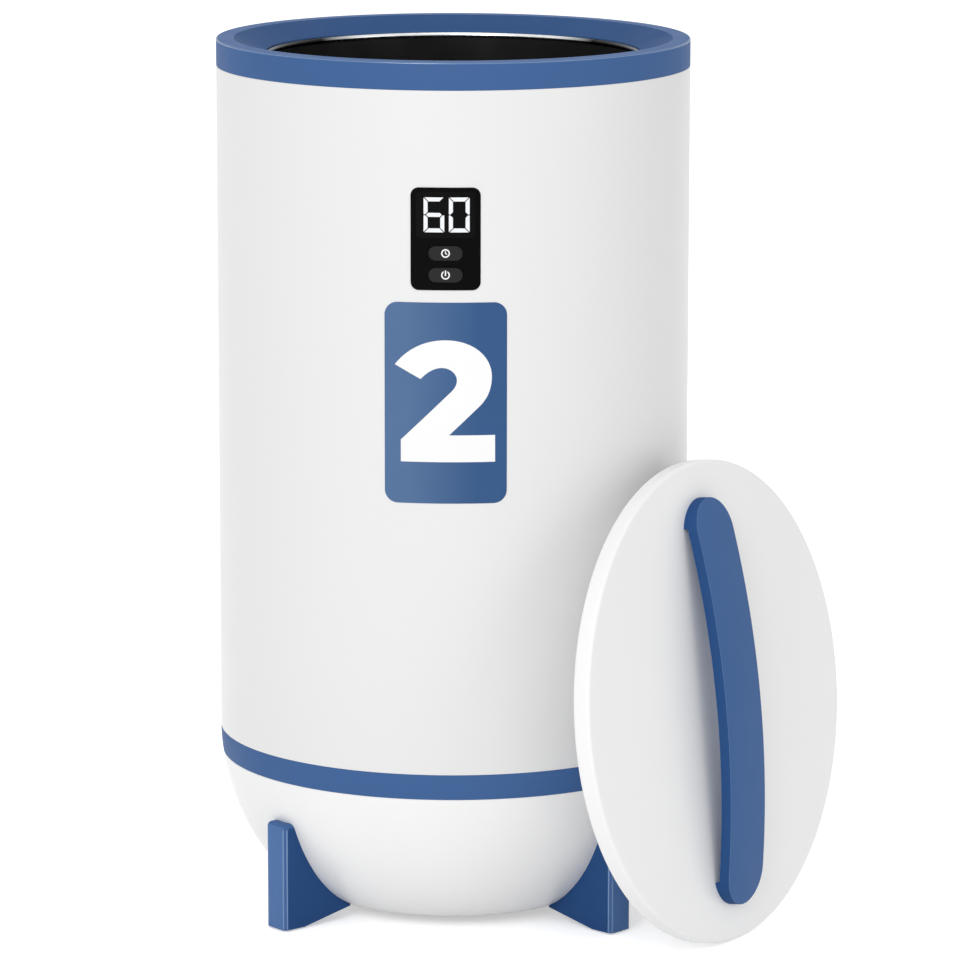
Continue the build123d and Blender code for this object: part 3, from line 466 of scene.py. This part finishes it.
# a box with its corners rounded, between two depths along Y
def cornerBlock(name, width, height, corner, centreZ, lowY, highY):
    startPiece()
    middle = (0, (lowY + highY) / 2, centreZ)
    bpy.ops.mesh.primitive_cube_add(size=1, location=middle, scale=(width, highY - lowY, height))
    piece = bpy.context.object
    piece.name = name
    settled(piece)
    chooseEdges(piece, lambda a, b: abs(a.y - b.y) > abs(a.x - b.x) + abs(a.z - b.z))
    bpy.ops.mesh.bevel(offset=corner, segments=8, affect="EDGES")
    bpy.ops.object.mode_set(mode="OBJECT")
    return piece


# a pill lying flat: a circle pulled apart, then raised
def pillBlock(name, length, width, low, high, steps=64):
    startPiece()
    bpy.ops.mesh.primitive_circle_add(vertices=steps, radius=width / 2, fill_type="NGON")
    piece = bpy.context.object
    piece.name = name
    piece.rotation_euler.z = math.pi / steps      # no corner on the line where it parts
    settled(piece)
    for side in (-1, 1):
        chooseVertices(piece, lambda v: v.x * side > 0)
        bpy.ops.transform.translate(value=(side * (length - width) / 2, 0, 0))
    bpy.ops.mesh.select_all(action="SELECT")
    bpy.ops.transform.translate(value=(0, 0, low))
    bpy.ops.mesh.extrude_region_move(TRANSFORM_OT_translate={"value": (0, 0, high - low)})
    bpy.ops.object.mode_set(mode="OBJECT")
    return closed(piece)


# a thin hoop round the body: what a flat shape is trimmed to, so that it hugs the curve
def trimmedToBody(piece, radius, thickness, low, high):
    hoop = lathe("trimHoop", [
        (radius, low), (radius + thickness, low), (radius + thickness, high), (radius, high),
    ], steps=2 * roundSteps)
    return combined(piece, hoop, "INTERSECT")


# sizes of the body, read off the frame
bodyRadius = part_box("outer_shell")[1].x
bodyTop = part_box("top_ring")[1].z
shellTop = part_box("outer_shell")[1].z
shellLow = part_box("outer_shell")[0].z
bandHeight = 15 * mm
bandLow = shellLow - bandHeight
seam = 0.3 * mm             # the rounding where two mouldings meet
axisHole = 2 * mm           # where a turned shape starts, before its pole is filled

bowlForm = {
    "flatRadius": 58.9 * mm,
    "bottom": 2.5 * mm,
    "sidePower": 2.256,
    "bottomPower": 1.786,
    "wall": 2.5 * mm,
    "steps": 30,
    "coverRadius": 51.2 * mm,
    "coverDepth": 3.1 * mm,
    "openingRadius": 44 * mm,
}


def bowlOutline(inset, high):
    s = bowlForm
    rim = bodyRadius - inset
    floor = s["bottom"] + inset
    outline = []
    for step in range(s["steps"] + 1):
        angle = math.pi / 2 * step / s["steps"]
        x = s["flatRadius"] + (rim - s["flatRadius"]) * math.cos(angle) ** (2 / s["sidePower"])
        z = shellLow - (shellLow - floor) * math.sin(angle) ** (2 / s["bottomPower"])
        if z <= high:
            outline.append((x, z))
    return outline


def bowlRadius(height, inset=0.0):
    s = bowlForm
    rise = ((shellLow - height) / (shellLow - s["bottom"] - inset)) ** s["bottomPower"]
    return s["flatRadius"] + (bodyRadius - inset - s["flatRadius"]) * (1 - rise) ** (1 / s["sidePower"])


# top ring: flat on top, sloping in to the mouth
topRing = {
    "flat": 10.3 * mm,
    "drop": 7.8 * mm,
    "mouthRadius": 110.6 * mm,
    "lip": 1.0 * mm,
    "skin": 3.4 * mm,
    "wall": 5.6 * mm,
    "skirtRadius": 137.4 * mm,
    "skirtLow": 494 * mm,
    "outerRound": 0.9 * mm,
    "innerRound": 0.9 * mm,
}


def makeTopRing():
    s = topRing
    under = bodyTop - s["skin"]
    ring = lathe("topRing", softened([
        (bodyRadius, shellTop, seam),
        (bodyRadius, bodyTop, s["outerRound"]),
        (bodyRadius - s["flat"], bodyTop, s["innerRound"]),
        (s["mouthRadius"], bodyTop - s["drop"], seam),
        (s["mouthRadius"], bodyTop - s["drop"] - s["lip"], 0),
        (bodyRadius - s["flat"], under, 0),
        (bodyRadius - s["wall"], under, 0),
        (bodyRadius - s["wall"], s["skirtLow"], 0),
        (s["skirtRadius"], s["skirtLow"], 0),
        (s["skirtRadius"], shellTop, 0),
    ]))
    done(ring, "bucket", "blue_plastic", "top_ring")
    edge = bodyTop - s["outerRound"]
    # painted highlight on the outer rounding, then painted shade on the slope down to the mouth
    paintLightOnFaces(ring, lambda spot, normal: spot.z > edge and 0.15 < normal.z < 0.97
             and spot.xy.length > bodyRadius - s["flat"] / 2)
    paintLightOnFaces(ring, lambda spot, normal: normal.z > 0.7 and s["mouthRadius"] < spot.xy.length
             and spot.z < bodyTop - s["innerRound"] / 4 and spot.z > bodyTop - s["drop"], funnelPaintedShade)


# outer shell: a plain tube with openings for the panel and the inlet
shellCuts = {
    "wall": 2.5 * mm,
    "panelWidth": 40.0 * mm,
    "panelHeight": 59.0 * mm,
    "panelCorner": 4.7 * mm,
    "inletWidth": 30.5 * mm,
    "inletHeight": 22.5 * mm,
    "inletCorner": 3.0 * mm,
    "aboveInlet": 30 * mm,       # rows of points up the tube, clear of both openings
    "belowPanel": 160 * mm,
    "besidePanel": 40 * mm,
}


def makeOuterShell():
    s = shellCuts
    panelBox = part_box("control_board")
    panelZ = (panelBox[0].z + panelBox[1].z) / 2
    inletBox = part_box("inlet_socket")
    inletZ = (inletBox[0].z + inletBox[1].z) / 2
    rows = (inletZ + s["aboveInlet"], panelZ - s["belowPanel"])
    rows += (panelZ - s["besidePanel"], panelZ + s["besidePanel"])
    corners = [(bodyRadius, shellLow, seam)]
    corners += [(bodyRadius, z, 0) for z in rows]
    corners += [(bodyRadius, shellTop, seam), (bodyRadius - s["wall"], shellTop, 0)]
    corners += [(bodyRadius - s["wall"], z, 0) for z in reversed(rows)]
    corners += [(bodyRadius - s["wall"], shellLow, 0)]
    shell = lathe("outerShell", softened(corners))
    panel = cornerBlock(
        "panelCut", s["panelWidth"], s["panelHeight"], s["panelCorner"], panelZ, -2 * bodyRadius, 0
    )
    combined(shell, panel)
    inlet = cornerBlock(
        "inletCut", s["inletWidth"], s["inletHeight"], s["inletCorner"], inletZ, 0, 2 * bodyRadius
    )
    combined(shell, inlet)
    done(shell, "bucket", "white_shell", "outer_shell")


# accent band between shell and bowl
bandForm = {
    "wall": 5.6 * mm,
    "steps": 4,
    "sleeveUp": 10 * mm,
    "sleeveDown": 7 * mm,
    "sleeveRadius": 137.4 * mm,
    "lowSleeveRadius": 136.6 * mm,
}


def makeAccentBand():
    s = bandForm
    inner = bodyRadius - s["wall"]
    corners = [(s["lowSleeveRadius"], bandLow, 0)]
    for step in range(s["steps"] + 1):
        z = bandLow + (shellLow - bandLow) * step / s["steps"]
        corners.append((bowlRadius(z), z, seam if step in (0, s["steps"]) else 0))
    corners += [
        (s["sleeveRadius"], shellLow, 0),
        (s["sleeveRadius"], shellLow + s["sleeveUp"], 0),
        (inner, shellLow + s["sleeveUp"], 0),
        (inner, bandLow - s["sleeveDown"], 0),
        (s["lowSleeveRadius"], bandLow - s["sleeveDown"], 0),
    ]
    done(lathe("accentBand", softened(corners)), "bucket", "blue_plastic", "accent_band")


# bowl under the body, with the recess for its cover
def makeBaseBowl():
    s = bowlForm
    outer = bowlOutline(0, bandLow - 2 * seam)
    inner = bowlOutline(s["wall"], bandLow)
    rim = [(bowlRadius(bandLow, s["wall"]), bandLow), (bowlRadius(bandLow) - seam, bandLow)]
    rim += [(bowlRadius(bandLow - seam), bandLow - seam)]
    recess = s["bottom"] + s["coverDepth"]
    middle = [
        (s["coverRadius"], s["bottom"]),
        (s["coverRadius"], recess),
        (s["openingRadius"], recess),
        (s["openingRadius"], recess + s["wall"]),
        (inner[-1][0], recess + s["wall"]),
    ]
    bowl = lathe("baseBowl", rim + outer + middle + list(reversed(inner)))
    done(bowl, "bucket", "white_plastic", "base_bowl")


# the pot: coated inside, with a rolled lip under the ring's inner edge that carries a painted reflection
# at the back
potForm = {
    "radius": 110 * mm,
    "wall": 1.2 * mm,
    "floor": 62 * mm,
    "corner": 14 * mm,
    "lipRadius": 1.7 * mm,
    "lipSteps": 18,
    "floorRings": (28 * mm, 52 * mm, 76 * mm),
    "ringWidth": 5 * mm,
    "ringDepth": 0.9 * mm,
}


def makeInnerPot():
    s = potForm
    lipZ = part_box("inner_pot")[1].z - s["lipRadius"]
    outer = s["radius"] + s["wall"]
    corners = [(axisHole, s["floor"], 0)]
    for radius in s["floorRings"]:
        half = s["ringWidth"] / 2
        corners.append((radius - half, s["floor"], s["ringDepth"] / 2))
        corners.append((radius - half / 2, s["floor"] + s["ringDepth"], s["ringDepth"] / 2))
        corners.append((radius + half / 2, s["floor"] + s["ringDepth"], s["ringDepth"] / 2))
        corners.append((radius + half, s["floor"], s["ringDepth"] / 2))
    corners += [
        (s["radius"], s["floor"], s["corner"] - s["wall"]),
        (s["radius"], lipZ, 0),
        (outer, lipZ, 0),
        (outer, s["floor"] - s["wall"], s["corner"]),
        (axisHole, s["floor"] - s["wall"], 0),
    ]
    pot = lathe("innerPot", softened(corners, 8), loop=False)
    done(pot, "bucket", "pot_coating", "inner_pot", smooth=0.9)
    middle = Vector((s["radius"] + s["wall"] / 4, lipZ))
    startPiece()
    bpy.ops.mesh.primitive_torus_add(
        location=(0, 0, middle.y), major_radius=middle.x, minor_radius=s["lipRadius"],
        major_segments=roundSteps, minor_segments=s["lipSteps"],
    )
    lip = bpy.context.object
    lip.name = "potLip"
    done(lip, "bucket", "pot_coating", finish=paintedReflectionLip, smooth=3.0)


# feet: one is shaped along +X, then copied round the bowl
footForm = {
    "angles": {
        "foot_front_left": 222.8, "foot_front_right": 317.2,
        "foot_rear_left": 137.2, "foot_rear_right": 42.8,
    },
    "outer": 139 * mm,
    "length": 50 * mm,
    "width": 18 * mm,
    "top": 65 * mm,
    "low": 1.0 * mm,
    "flat": 14 * mm,
    "rise": 6.9 * mm,
    "edge": 3.0 * mm,
    "lowEdge": 0.4 * mm,
    "paintedHighlightLines": (0.38, 0.92),   # which facets of the upright rounding carry painted highlight lines
    "lineWidth": 0.05,
    "gap": 0.1 * mm,
    "padLength": 10.2 * mm,
    "padWidth": 11.2 * mm,
    "padInset": 7.5 * mm,
    "padDepth": 2.05 * mm,
}


def makeFeet():
    s = footForm
    inner = s["outer"] - s["length"]
    near = s["gap"]
    startPiece()
    bpy.ops.mesh.primitive_cube_add(
        size=1,
        location=((s["outer"] + inner) / 2, 0, (s["top"] + s["low"]) / 2),
        scale=(s["length"], s["width"], s["top"] - s["low"]),
    )
    foot = settled(bpy.context.object)
    edit(foot, "VERT")
    bpy.ops.mesh.select_all(action="SELECT")
    bpy.ops.mesh.bisect(plane_co=(s["outer"] - s["flat"], 0, 0), plane_no=(1, 0, 0))
    bpy.ops.object.mode_set(mode="OBJECT")
    chooseVertices(foot, lambda v: v.x < inner + near and v.z < s["low"] + near)
    bpy.ops.transform.translate(value=(0, 0, s["rise"]))
    bpy.ops.object.mode_set(mode="OBJECT")
    face = s["outer"] - near
    top = s["top"] - near
    chooseEdges(foot, lambda a, b: (min(a.x, b.x) > face and abs(a.z - b.z) > s["width"])
                or (min(a.z, b.z) > top and (abs(a.y - b.y) < near or min(a.x, b.x) > face)))
    bpy.ops.mesh.bevel(offset=s["edge"], segments=6, affect="EDGES")
    bpy.ops.object.mode_set(mode="OBJECT")
    low = s["low"] + near
    chooseEdges(foot, lambda a, b: max(a.z, b.z) < low and abs(a.x - b.x) + abs(a.y - b.y) > near
                and not (abs(a.x - b.x) < near and max(a.x, b.x) < face))
    bpy.ops.mesh.bevel(offset=s["lowEdge"], segments=2, affect="EDGES")
    bpy.ops.object.mode_set(mode="OBJECT")
    bowl = lathe(
        "bowlForm", [(axisHole, shellLow)] + bowlOutline(-near, shellLow) + [(axisHole, s["low"])], False
    )
    combined(foot, bowl)
    startPiece()
    bpy.ops.mesh.primitive_cube_add(
        size=1,
        location=(s["outer"] - s["padInset"], 0, 0),
        scale=(s["padLength"], s["padWidth"], 2 * s["padDepth"]),
    )
    combined(foot, settled(bpy.context.object))
    for node, angle in s["angles"].items():
        copy = foot.copy()
        copy.data = foot.data.copy()
        bpy.context.scene.collection.objects.link(copy)
        copy.name = node.replace("_", " ").title().replace(" ", "")
        placed(copy, Matrix.Rotation(math.radians(angle), 4, "Z"))
        done(copy, "bucket", "blue_plastic", node)
        turned = Matrix.Rotation(-math.radians(angle), 3, "Z")
        # painted shade on the flat sides, painted light on the outer end, and two painted highlight lines
        # down the rounding between them
        paintLightOnFaces(copy, lambda spot, normal: abs((turned @ normal).y) > 0.99, bluePaintedShadeSide)
        paintLightOnFaces(copy, lambda spot, normal: (turned @ normal).x > 0.9, footEndPaintedLight)
        paintLightOnFaces(copy, lambda spot, normal: (turned @ spot).x > face - s["edge"] and abs(normal.z) < 0.1
                 and any(abs(abs((turned @ normal).y) - line) < s["lineWidth"] for line in s["paintedHighlightLines"]))
    pick(foot)
    bpy.ops.object.delete()


# the lid's own frame: +Z out of its face, +Y up it
lidForm = {
    "azimuth": 58.6,
    "lean": 7.1,
    "radius": 141.4 * mm,
    "thickness": 11 * mm,
    "skin": 2.5 * mm,
    "edge": 2.2 * mm,
    "panGap": 0.2 * mm,
    "panThickness": 2 * mm,
    "plugRadius": 108 * mm,
    "plugDepth": 20.6 * mm,
    "plugRound": 3 * mm,
    "ribRadii": (30 * mm, 60 * mm, 86 * mm),
    "ribWidth": 2.4 * mm,
    "ribDepth": 0.5 * mm,
}


def lidPlace():
    s = lidForm
    turn = math.radians(s["azimuth"])
    lean = math.radians(s["lean"])
    outward = Vector((math.sin(turn) * math.cos(lean), -math.cos(turn) * math.cos(lean), math.sin(lean)))
    across = Vector((math.cos(turn), math.sin(turn), 0))
    up = outward.cross(across)
    low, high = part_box("lid_cover")
    centre = (low + high) / 2 + outward * s["thickness"] / 2
    place = Matrix((across, up, outward)).transposed().to_4x4()
    return Matrix.Translation(centre) @ place


def makeLidCover():
    s = lidForm
    inner = s["radius"] - s["skin"]
    cover = lathe("lidCover", softened([
        (axisHole, 0, 0),
        (s["radius"], 0, s["edge"]),
        (s["radius"], -s["thickness"], s["edge"]),
        (inner, -s["thickness"], 0),
        (inner, -s["skin"], 0),
        (axisHole, -s["skin"], 0),
    ], 8), loop=False)
    done(placed(cover, lidPlace()), "lid", "white_plastic", "lid_cover")


def makeLidPan():
    s = lidForm
    low = -s["thickness"]
    deep = low - s["plugDepth"]
    outer = s["radius"] - s["skin"] - s["panGap"]
    corners = [(axisHole, low + s["panThickness"], 0), (outer, low + s["panThickness"], 0)]
    corners += [(outer, low, seam), (s["plugRadius"], low, 0), (s["plugRadius"], deep, s["plugRound"])]
    for radius in reversed(s["ribRadii"]):
        half = s["ribWidth"] / 2
        corners.append((radius + half, deep, 0))
        corners.append((radius + half / 2, deep + s["ribDepth"], 0))
        corners.append((radius - half / 2, deep + s["ribDepth"], 0))
        corners.append((radius - half, deep, 0))
    corners.append((axisHole, deep, 0))
    pan = lathe("lidPan", softened(corners, 6), loop=False)
    done(placed(pan, lidPlace()), "lid", "white_plastic", "lid_pan")


# the handle: an arched strap trimmed to a long pill, with a pad at each end
handleForm = {
    "length": 240.6 * mm,
    "width": 39.3 * mm,
    "thickness": 6.5 * mm,
    "rise": 12 * mm,
    "pad": 16 * mm,
    "turn": -1.1,
    "sideShift": -2.2 * mm,
    "steps": 72,
    "pillSteps": 96,
    "edge": 0.7 * mm,
    "spare": 1.2,                # how much wider the strap starts, before it is trimmed
}


def makeLidHandle():
    s = handleForm
    half = s["length"] / 2
    radius = (half ** 2 + s["rise"] ** 2) / (2 * s["rise"])
    centreZ = s["rise"] + s["thickness"] - radius
    sweep = math.asin((half + s["width"] / 8) / radius)
    mid = radius - s["thickness"] / 2
    startPiece()
    bpy.ops.mesh.primitive_plane_add(
        size=1,
        location=(0, -mid * math.sin(sweep), centreZ + mid * math.cos(sweep)),
        rotation=(math.pi / 2 + sweep, 0, 0),
    )
    strap = bpy.context.object
    strap.scale = (s["width"] * s["spare"], s["thickness"], 1)
    settled(strap)
    strap.name = "lidHandle"
    bpy.ops.object.mode_set(mode="EDIT")
    bpy.ops.mesh.select_all(action="SELECT")
    bpy.ops.mesh.spin(steps=s["steps"], angle=2 * sweep, center=(0, 0, centreZ), axis=(1, 0, 0))
    bpy.ops.object.mode_set(mode="OBJECT")
    closed(strap)
    for side in (-1, 1):
        startPiece()
        bpy.ops.mesh.primitive_cube_add(
            size=1,
            location=(0, side * half, s["thickness"] / 4),
            scale=(s["width"] * s["spare"], 2 * s["pad"], s["thickness"] / 2),
        )
        combined(strap, settled(bpy.context.object), "UNION")
    pill = pillBlock("handlePill", s["length"], s["width"], 0, 3 * s["rise"], s["pillSteps"])
    combined(strap, placed(pill, Matrix.Rotation(math.pi / 2, 4, "Z")), "INTERSECT")
    softEdges(strap, s["edge"], 3, 0.5)
    turned = Matrix.Rotation(math.radians(s["turn"]), 4, "Z")
    place = lidPlace() @ Matrix.Translation((s["sideShift"], 0, 0)) @ turned
    done(placed(strap, place), "lid", "blue_plastic", "lid_handle", smooth=0.5)
    back = place.to_3x3().inverted()
    # painted highlight on the two long edges, then painted shade on the side walls
    paintLightOnFaces(strap, lambda spot, normal: 0.12 < (back @ normal).z < 0.9 and abs((back @ normal).x) > 0.3)
    paintLightOnFaces(strap, lambda spot, normal: abs((back @ normal).z) < 0.12, bluePaintedShadeSide)


# keys: pills trimmed to the curve of the panel, with a flange behind
keyForm = {
    "bodies": {"timer_button": "timer_key", "power_button": "power_key"},
    "length": 19.5 * mm,
    "width": 8.2 * mm,
    "flange": 1.6 * mm,
    "flangeDepth": 1.4 * mm,
    "edge": 0.7 * mm,
    "spare": 1 * mm,             # how far the pill starts out in front, before it is trimmed
    "curveSteps": 720,
    "iconProud": 0.05 * mm,
    "iconRadius": 2.5 * mm,
    "iconStroke": 0.75 * mm,
    "iconSteps": 64,
    "handWidth": 0.6 * mm,
    "handLengths": (1.7 * mm, 1.4 * mm),
    "handAngles": (0, 120),
    "powerGap": 2.2 * mm,
    "stemLength": 3.2 * mm,
    "stemWidth": 0.75 * mm,
    "stemStart": -0.5 * mm,
}


def facingForward(height):
    return Matrix.Translation((0, 0, height)) @ Matrix.Rotation(math.pi / 2, 4, "X")


def makeKeys():
    s = keyForm
    for node, body in s["bodies"].items():
        low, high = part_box(node)
        height = (low.z + high.z) / 2
        front, back = -low.y, -high.y
        key = pillBlock(node + "Face", s["length"], s["width"], back, front + s["spare"])
        key.name = body.replace("_", " ").title().replace(" ", "")
        placed(key, facingForward(height))
        curve = lathe("keyCurve", [
            (axisHole, low.z - s["width"]), (front, low.z - s["width"]),
            (front, high.z + s["width"]), (axisHole, high.z + s["width"]),
        ], False, s["curveSteps"])
        combined(key, curve, "INTERSECT")
        softEdges(key, s["edge"], 4, 0.8)
        flange = pillBlock(
            "keyFlange", s["length"] + 2 * s["flange"], s["width"] + 2 * s["flange"],
            back, back + s["flangeDepth"],
        )
        combined(key, placed(flange, facingForward(height)), "UNION")
        done(key, body, "key_plastic", node)
        # painted highlight on the lower edge of the part that stands out of the panel
        paintLightOnFaces(key, lambda spot, normal: -0.97 < normal.z < -0.2 and spot.y < -bodyRadius, keyPaintedHighlight)


def iconBar(length, width, start, angle):
    startPiece()
    bpy.ops.mesh.primitive_cube_add(
        size=1, location=(0, start + length / 2, bodyRadius), scale=(width, length, bodyRadius)
    )
    bar = settled(bpy.context.object)
    return placed(bar, Matrix.Rotation(-math.radians(angle), 4, "Z"))


def makeIcon(name, node, gap, bars):
    s = keyForm
    low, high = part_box(node)
    front = -low.y
    inner = s["iconRadius"] - s["iconStroke"]
    deep = bodyRadius * 1.1
    icon = lathe(name, [
        (inner, bodyRadius / 2), (s["iconRadius"], bodyRadius / 2), (s["iconRadius"], deep), (inner, deep),
    ], steps=s["iconSteps"])
    if gap:
        combined(icon, iconBar(2 * s["iconRadius"], gap, 0, 0))
    for bar in bars:
        combined(icon, bar, "UNION")
    placed(icon, facingForward((low.z + high.z) / 2))
    trimmedToBody(icon, front - s["iconProud"], 2 * s["iconProud"], low.z, high.z)
    done(icon, keyForm["bodies"][node], "key_plastic", finish=printedWhite)


def makeIcons():
    s = keyForm
    hands = [iconBar(length, s["handWidth"], -s["handWidth"] / 2, angle)
             for length, angle in zip(s["handLengths"], s["handAngles"])]
    makeIcon("timerIcon", "timer_button", 0, hands)
    stem = iconBar(s["stemLength"], s["stemWidth"], s["stemStart"], 0)
    makeIcon("powerIcon", "power_button", s["powerGap"], [stem])


# lit digits: bars with mitred corners, seen through the window
displayForm = {
    "digits": (("acdefg", -6.6 * mm), ("abcdef", 7.8 * mm)),
    "width": 11.8 * mm,
    "height": 20.0 * mm,
    "stroke": 2.3 * mm,
    "gap": 0.6 * mm,
    "bridgeInset": 1.5 * mm,
    "mitre": 0.96,               # corner cuts, as shares of the stroke
    "innerCut": 0.6,
    "bridgeCut": 0.46,
    "depth": 8 * mm,
    "near": 0.05 * mm,
    "proud": 0.06 * mm,
}


def litBar(x, z, long, high, cuts):
    depth = displayForm["depth"]
    near = displayForm["near"]
    startPiece()
    bpy.ops.mesh.primitive_cube_add(size=1, location=(x, -bodyRadius, z), scale=(long, depth, high))
    bar = settled(bpy.context.object)
    for sideX, sideZ, cut in cuts:
        chooseEdges(bar, lambda a, b: abs(a.y - b.y) > depth / 2
                    and (a.x - x) * sideX > long / 2 - near and (a.z - z) * sideZ > high / 2 - near)
        bpy.ops.mesh.bevel(offset=cut, segments=1, affect="EDGES")
        bpy.ops.object.mode_set(mode="OBJECT")
    return bar


def makeDigits():
    s = displayForm
    low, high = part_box("display_window")
    middle = (low.z + high.z) / 2
    stroke = s["stroke"]
    mitre = stroke * s["mitre"]
    halfX = s["width"] / 2 - stroke / 2
    halfZ = s["height"] / 2 - stroke / 2
    side = s["height"] / 2 - s["gap"]
    flat = s["width"] - 2 * s["gap"]
    bridge = s["width"] - 2 * s["bridgeInset"]
    bars = []
    for lit, x in s["digits"]:
        for name in lit:
            if name in "ad":
                up = 1 if name == "a" else -1
                cuts = [(-1, -up, mitre), (1, -up, mitre)]
                bars.append(litBar(x, middle + up * halfZ, flat, stroke, cuts))
            elif name == "g":
                cuts = [(i, j, stroke * s["bridgeCut"]) for i in (-1, 1) for j in (-1, 1)]
                bars.append(litBar(x, middle, bridge, stroke, cuts))
            else:
                right = 1 if name in "bc" else -1
                up = 1 if name in "bf" else -1
                cuts = [(-right, up, mitre), (-right, -up, stroke * s["innerCut"])]
                bars.append(litBar(x + right * halfX, middle + up * s["height"] / 4, stroke, side, cuts))
    pick(*bars)
    bpy.ops.object.join()
    digits = bpy.context.object
    digits.name = "litDigits"
    trimmedToBody(digits, -low.y, s["proud"], low.z, high.z)
    done(digits, "bucket", "smoked_window", finish=litWhite)


# the printed numeral: a flat outline with curved handles, trimmed to the label's curve
numeralForm = {
    "proud": 0.04 * mm,
    "depth": 20 * mm,
    "smoothness": 16,
    "outline": [                     # place, handle before, handle after, from the label's middle
        ((-29.1, 22.2), (0, 0), (5.5, 7.2)),
        ((0, 36.6), (-14, 0), (16, 0)),
        ((26.4, 15.4), (0, 11.5), (0, -7)),
        ((19.3, -1.9), (4.7, 4.5), (0, 0)),
        ((2.0, -18.5), (0, 0), (0, 0)),
        ((28.3, -18.5), (0, 0), (0, 0)),
        ((28.3, -34.1), (0, 0), (0, 0)),
        ((-25.7, -34.1), (0, 0), (0, 0)),
        ((-25.7, -21.4), (0, 0), (0, 0)),
        ((0.4, 4.0), (0, 0), (2.6, 2.5)),
        ((6.5, 13.4), (0, -4.2), (0, 3.6)),
        ((-2.1, 20.6), (5.0, 0), (-4.6, 0)),
        ((-14.3, 14.0), (3.4, 3.7), (0, 0)),
    ],
}


def makeNumeral():
    s = numeralForm
    low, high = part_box("front_label")
    curve = bpy.data.curves.new("labelNumeral", "CURVE")
    curve.dimensions = "2D"
    curve.fill_mode = "BOTH"
    curve.extrude = s["depth"]
    curve.resolution_u = s["smoothness"]
    spline = curve.splines.new("BEZIER")
    spline.bezier_points.add(len(s["outline"]) - 1)
    spline.use_cyclic_u = True
    for point, (place, before, after) in zip(spline.bezier_points, s["outline"]):
        spot = Vector((*place, 0)) * mm
        point.handle_left_type = point.handle_right_type = "FREE"
        point.co = spot
        point.handle_left = spot + Vector((*before, 0)) * mm
        point.handle_right = spot + Vector((*after, 0)) * mm
    numeral = bpy.data.objects.new("labelNumeral", curve)
    bpy.context.scene.collection.objects.link(numeral)
    pick(numeral)
    bpy.ops.object.convert(target="MESH")
    numeral = bpy.context.object
    forward = Matrix.Translation((0, -bodyRadius, 0)) @ facingForward((low.z + high.z) / 2)
    closed(placed(numeral, forward))
    trimmedToBody(numeral, -low.y, s["proud"], low.z, high.z)
    done(numeral, "bucket", "label_film", finish=printedWhite)


makeTopRing()
makeOuterShell()
makeAccentBand()
makeBaseBowl()
makeInnerPot()
print("body pieces made")
makeFeet()
print("feet made")
makeLidCover()
makeLidPan()
makeLidHandle()
print("lid pieces made")
makeKeys()
makeIcons()
makeDigits()
makeNumeral()
print("panel and label pieces made")

# floor, world and lamps
stageSettings = {
    "floorSize": 14.0,
    "floorColour": (0.93, 0.93, 0.93),
    "floorRoughness": 0.9,
    "floorShine": 0.1,
    "farLift": 0.55,            # seen by the camera only, so the floor stays pale
    "nearLift": 0.42,           # less of it close by, where the shadows lie
    "liftFrom": 0.08,
    "liftTo": 0.22,
    "worldLight": 0.66,
    "lamps": [                  # name, place, width, depth, power
        ("keyLamp", (-1.0, -3.3, 2.1), 1.8, 1.8, 50.0),
        ("fillLamp", (3.0, -2.0, 1.2), 2.0, 2.0, 8.0),
        ("topLamp", (-0.2, 0.2, 3.2), 1.2, 1.2, 7.0),
    ],
    "aim": (0.0, 0.0, 0.25),
}


def seenDirectly(nodes, links):
    path = nodes.new("ShaderNodeLightPath")
    direct = path.outputs["Is Camera Ray"]
    for name in ("Is Glossy Ray", "Is Transmission Ray"):
        either = nodes.new("ShaderNodeMath")
        either.operation = "MAXIMUM"
        links.new(direct, either.inputs[0])
        links.new(path.outputs[name], either.inputs[1])
        direct = either.outputs[0]
    return direct


def makeWorld():
    world = bpy.data.worlds.new("studio")
    world.use_nodes = True
    bpy.context.scene.world = world
    nodes = world.node_tree.nodes
    links = world.node_tree.links
    background = nodes["Background"]
    background.inputs["Color"].default_value = (1, 1, 1, 1)
    level = spread(nodes, links, seenDirectly(nodes, links), stageSettings["worldLight"], 1.0, 0, 1)
    links.new(level, background.inputs["Strength"])


def makeFloor():
    s = stageSettings
    bpy.ops.object.select_all(action="DESELECT")
    bpy.ops.mesh.primitive_plane_add(size=s["floorSize"], location=(0, 0, 0))
    floor = bpy.context.object
    floor.name = "floor"
    material, nodes, links, shader = newMaterial("studioFloor")
    shader.inputs["Base Color"].default_value = (*s["floorColour"], 1)
    shader.inputs["Roughness"].default_value = s["floorRoughness"]
    shader.inputs["Specular IOR Level"].default_value = s["floorShine"]
    shader.inputs["Emission Color"].default_value = (1, 1, 1, 1)
    place = nodes.new("ShaderNodeTexCoord")
    away = nodes.new("ShaderNodeVectorMath")
    away.operation = "LENGTH"
    links.new(place.outputs["Object"], away.inputs[0])
    reach = (s["nearLift"], s["farLift"], s["liftFrom"], s["liftTo"])
    lift = nodes.new("ShaderNodeMath")
    lift.operation = "MULTIPLY"
    links.new(spread(nodes, links, away.outputs["Value"], *reach), lift.inputs[0])
    links.new(seenDirectly(nodes, links), lift.inputs[1])
    links.new(lift.outputs["Value"], shader.inputs["Emission Strength"])
    floor.data.materials.append(material)


def makeLamps():
    aim = Vector(stageSettings["aim"])
    for name, place, width, depth, power in stageSettings["lamps"]:
        data = bpy.data.lights.new(name, "AREA")
        data.shape = "ELLIPSE"
        data.size = width
        data.size_y = depth
        data.energy = power
        lamp = bpy.data.objects.new(name, data)
        lamp.location = place
        lamp.rotation_euler = (aim - Vector(place)).to_track_quat("-Z", "Y").to_euler()
        bpy.context.scene.collection.objects.link(lamp)


makeWorld()
makeFloor()
makeLamps()
bpy.context.scene.view_settings.view_transform = "Standard"
print("studio lit")
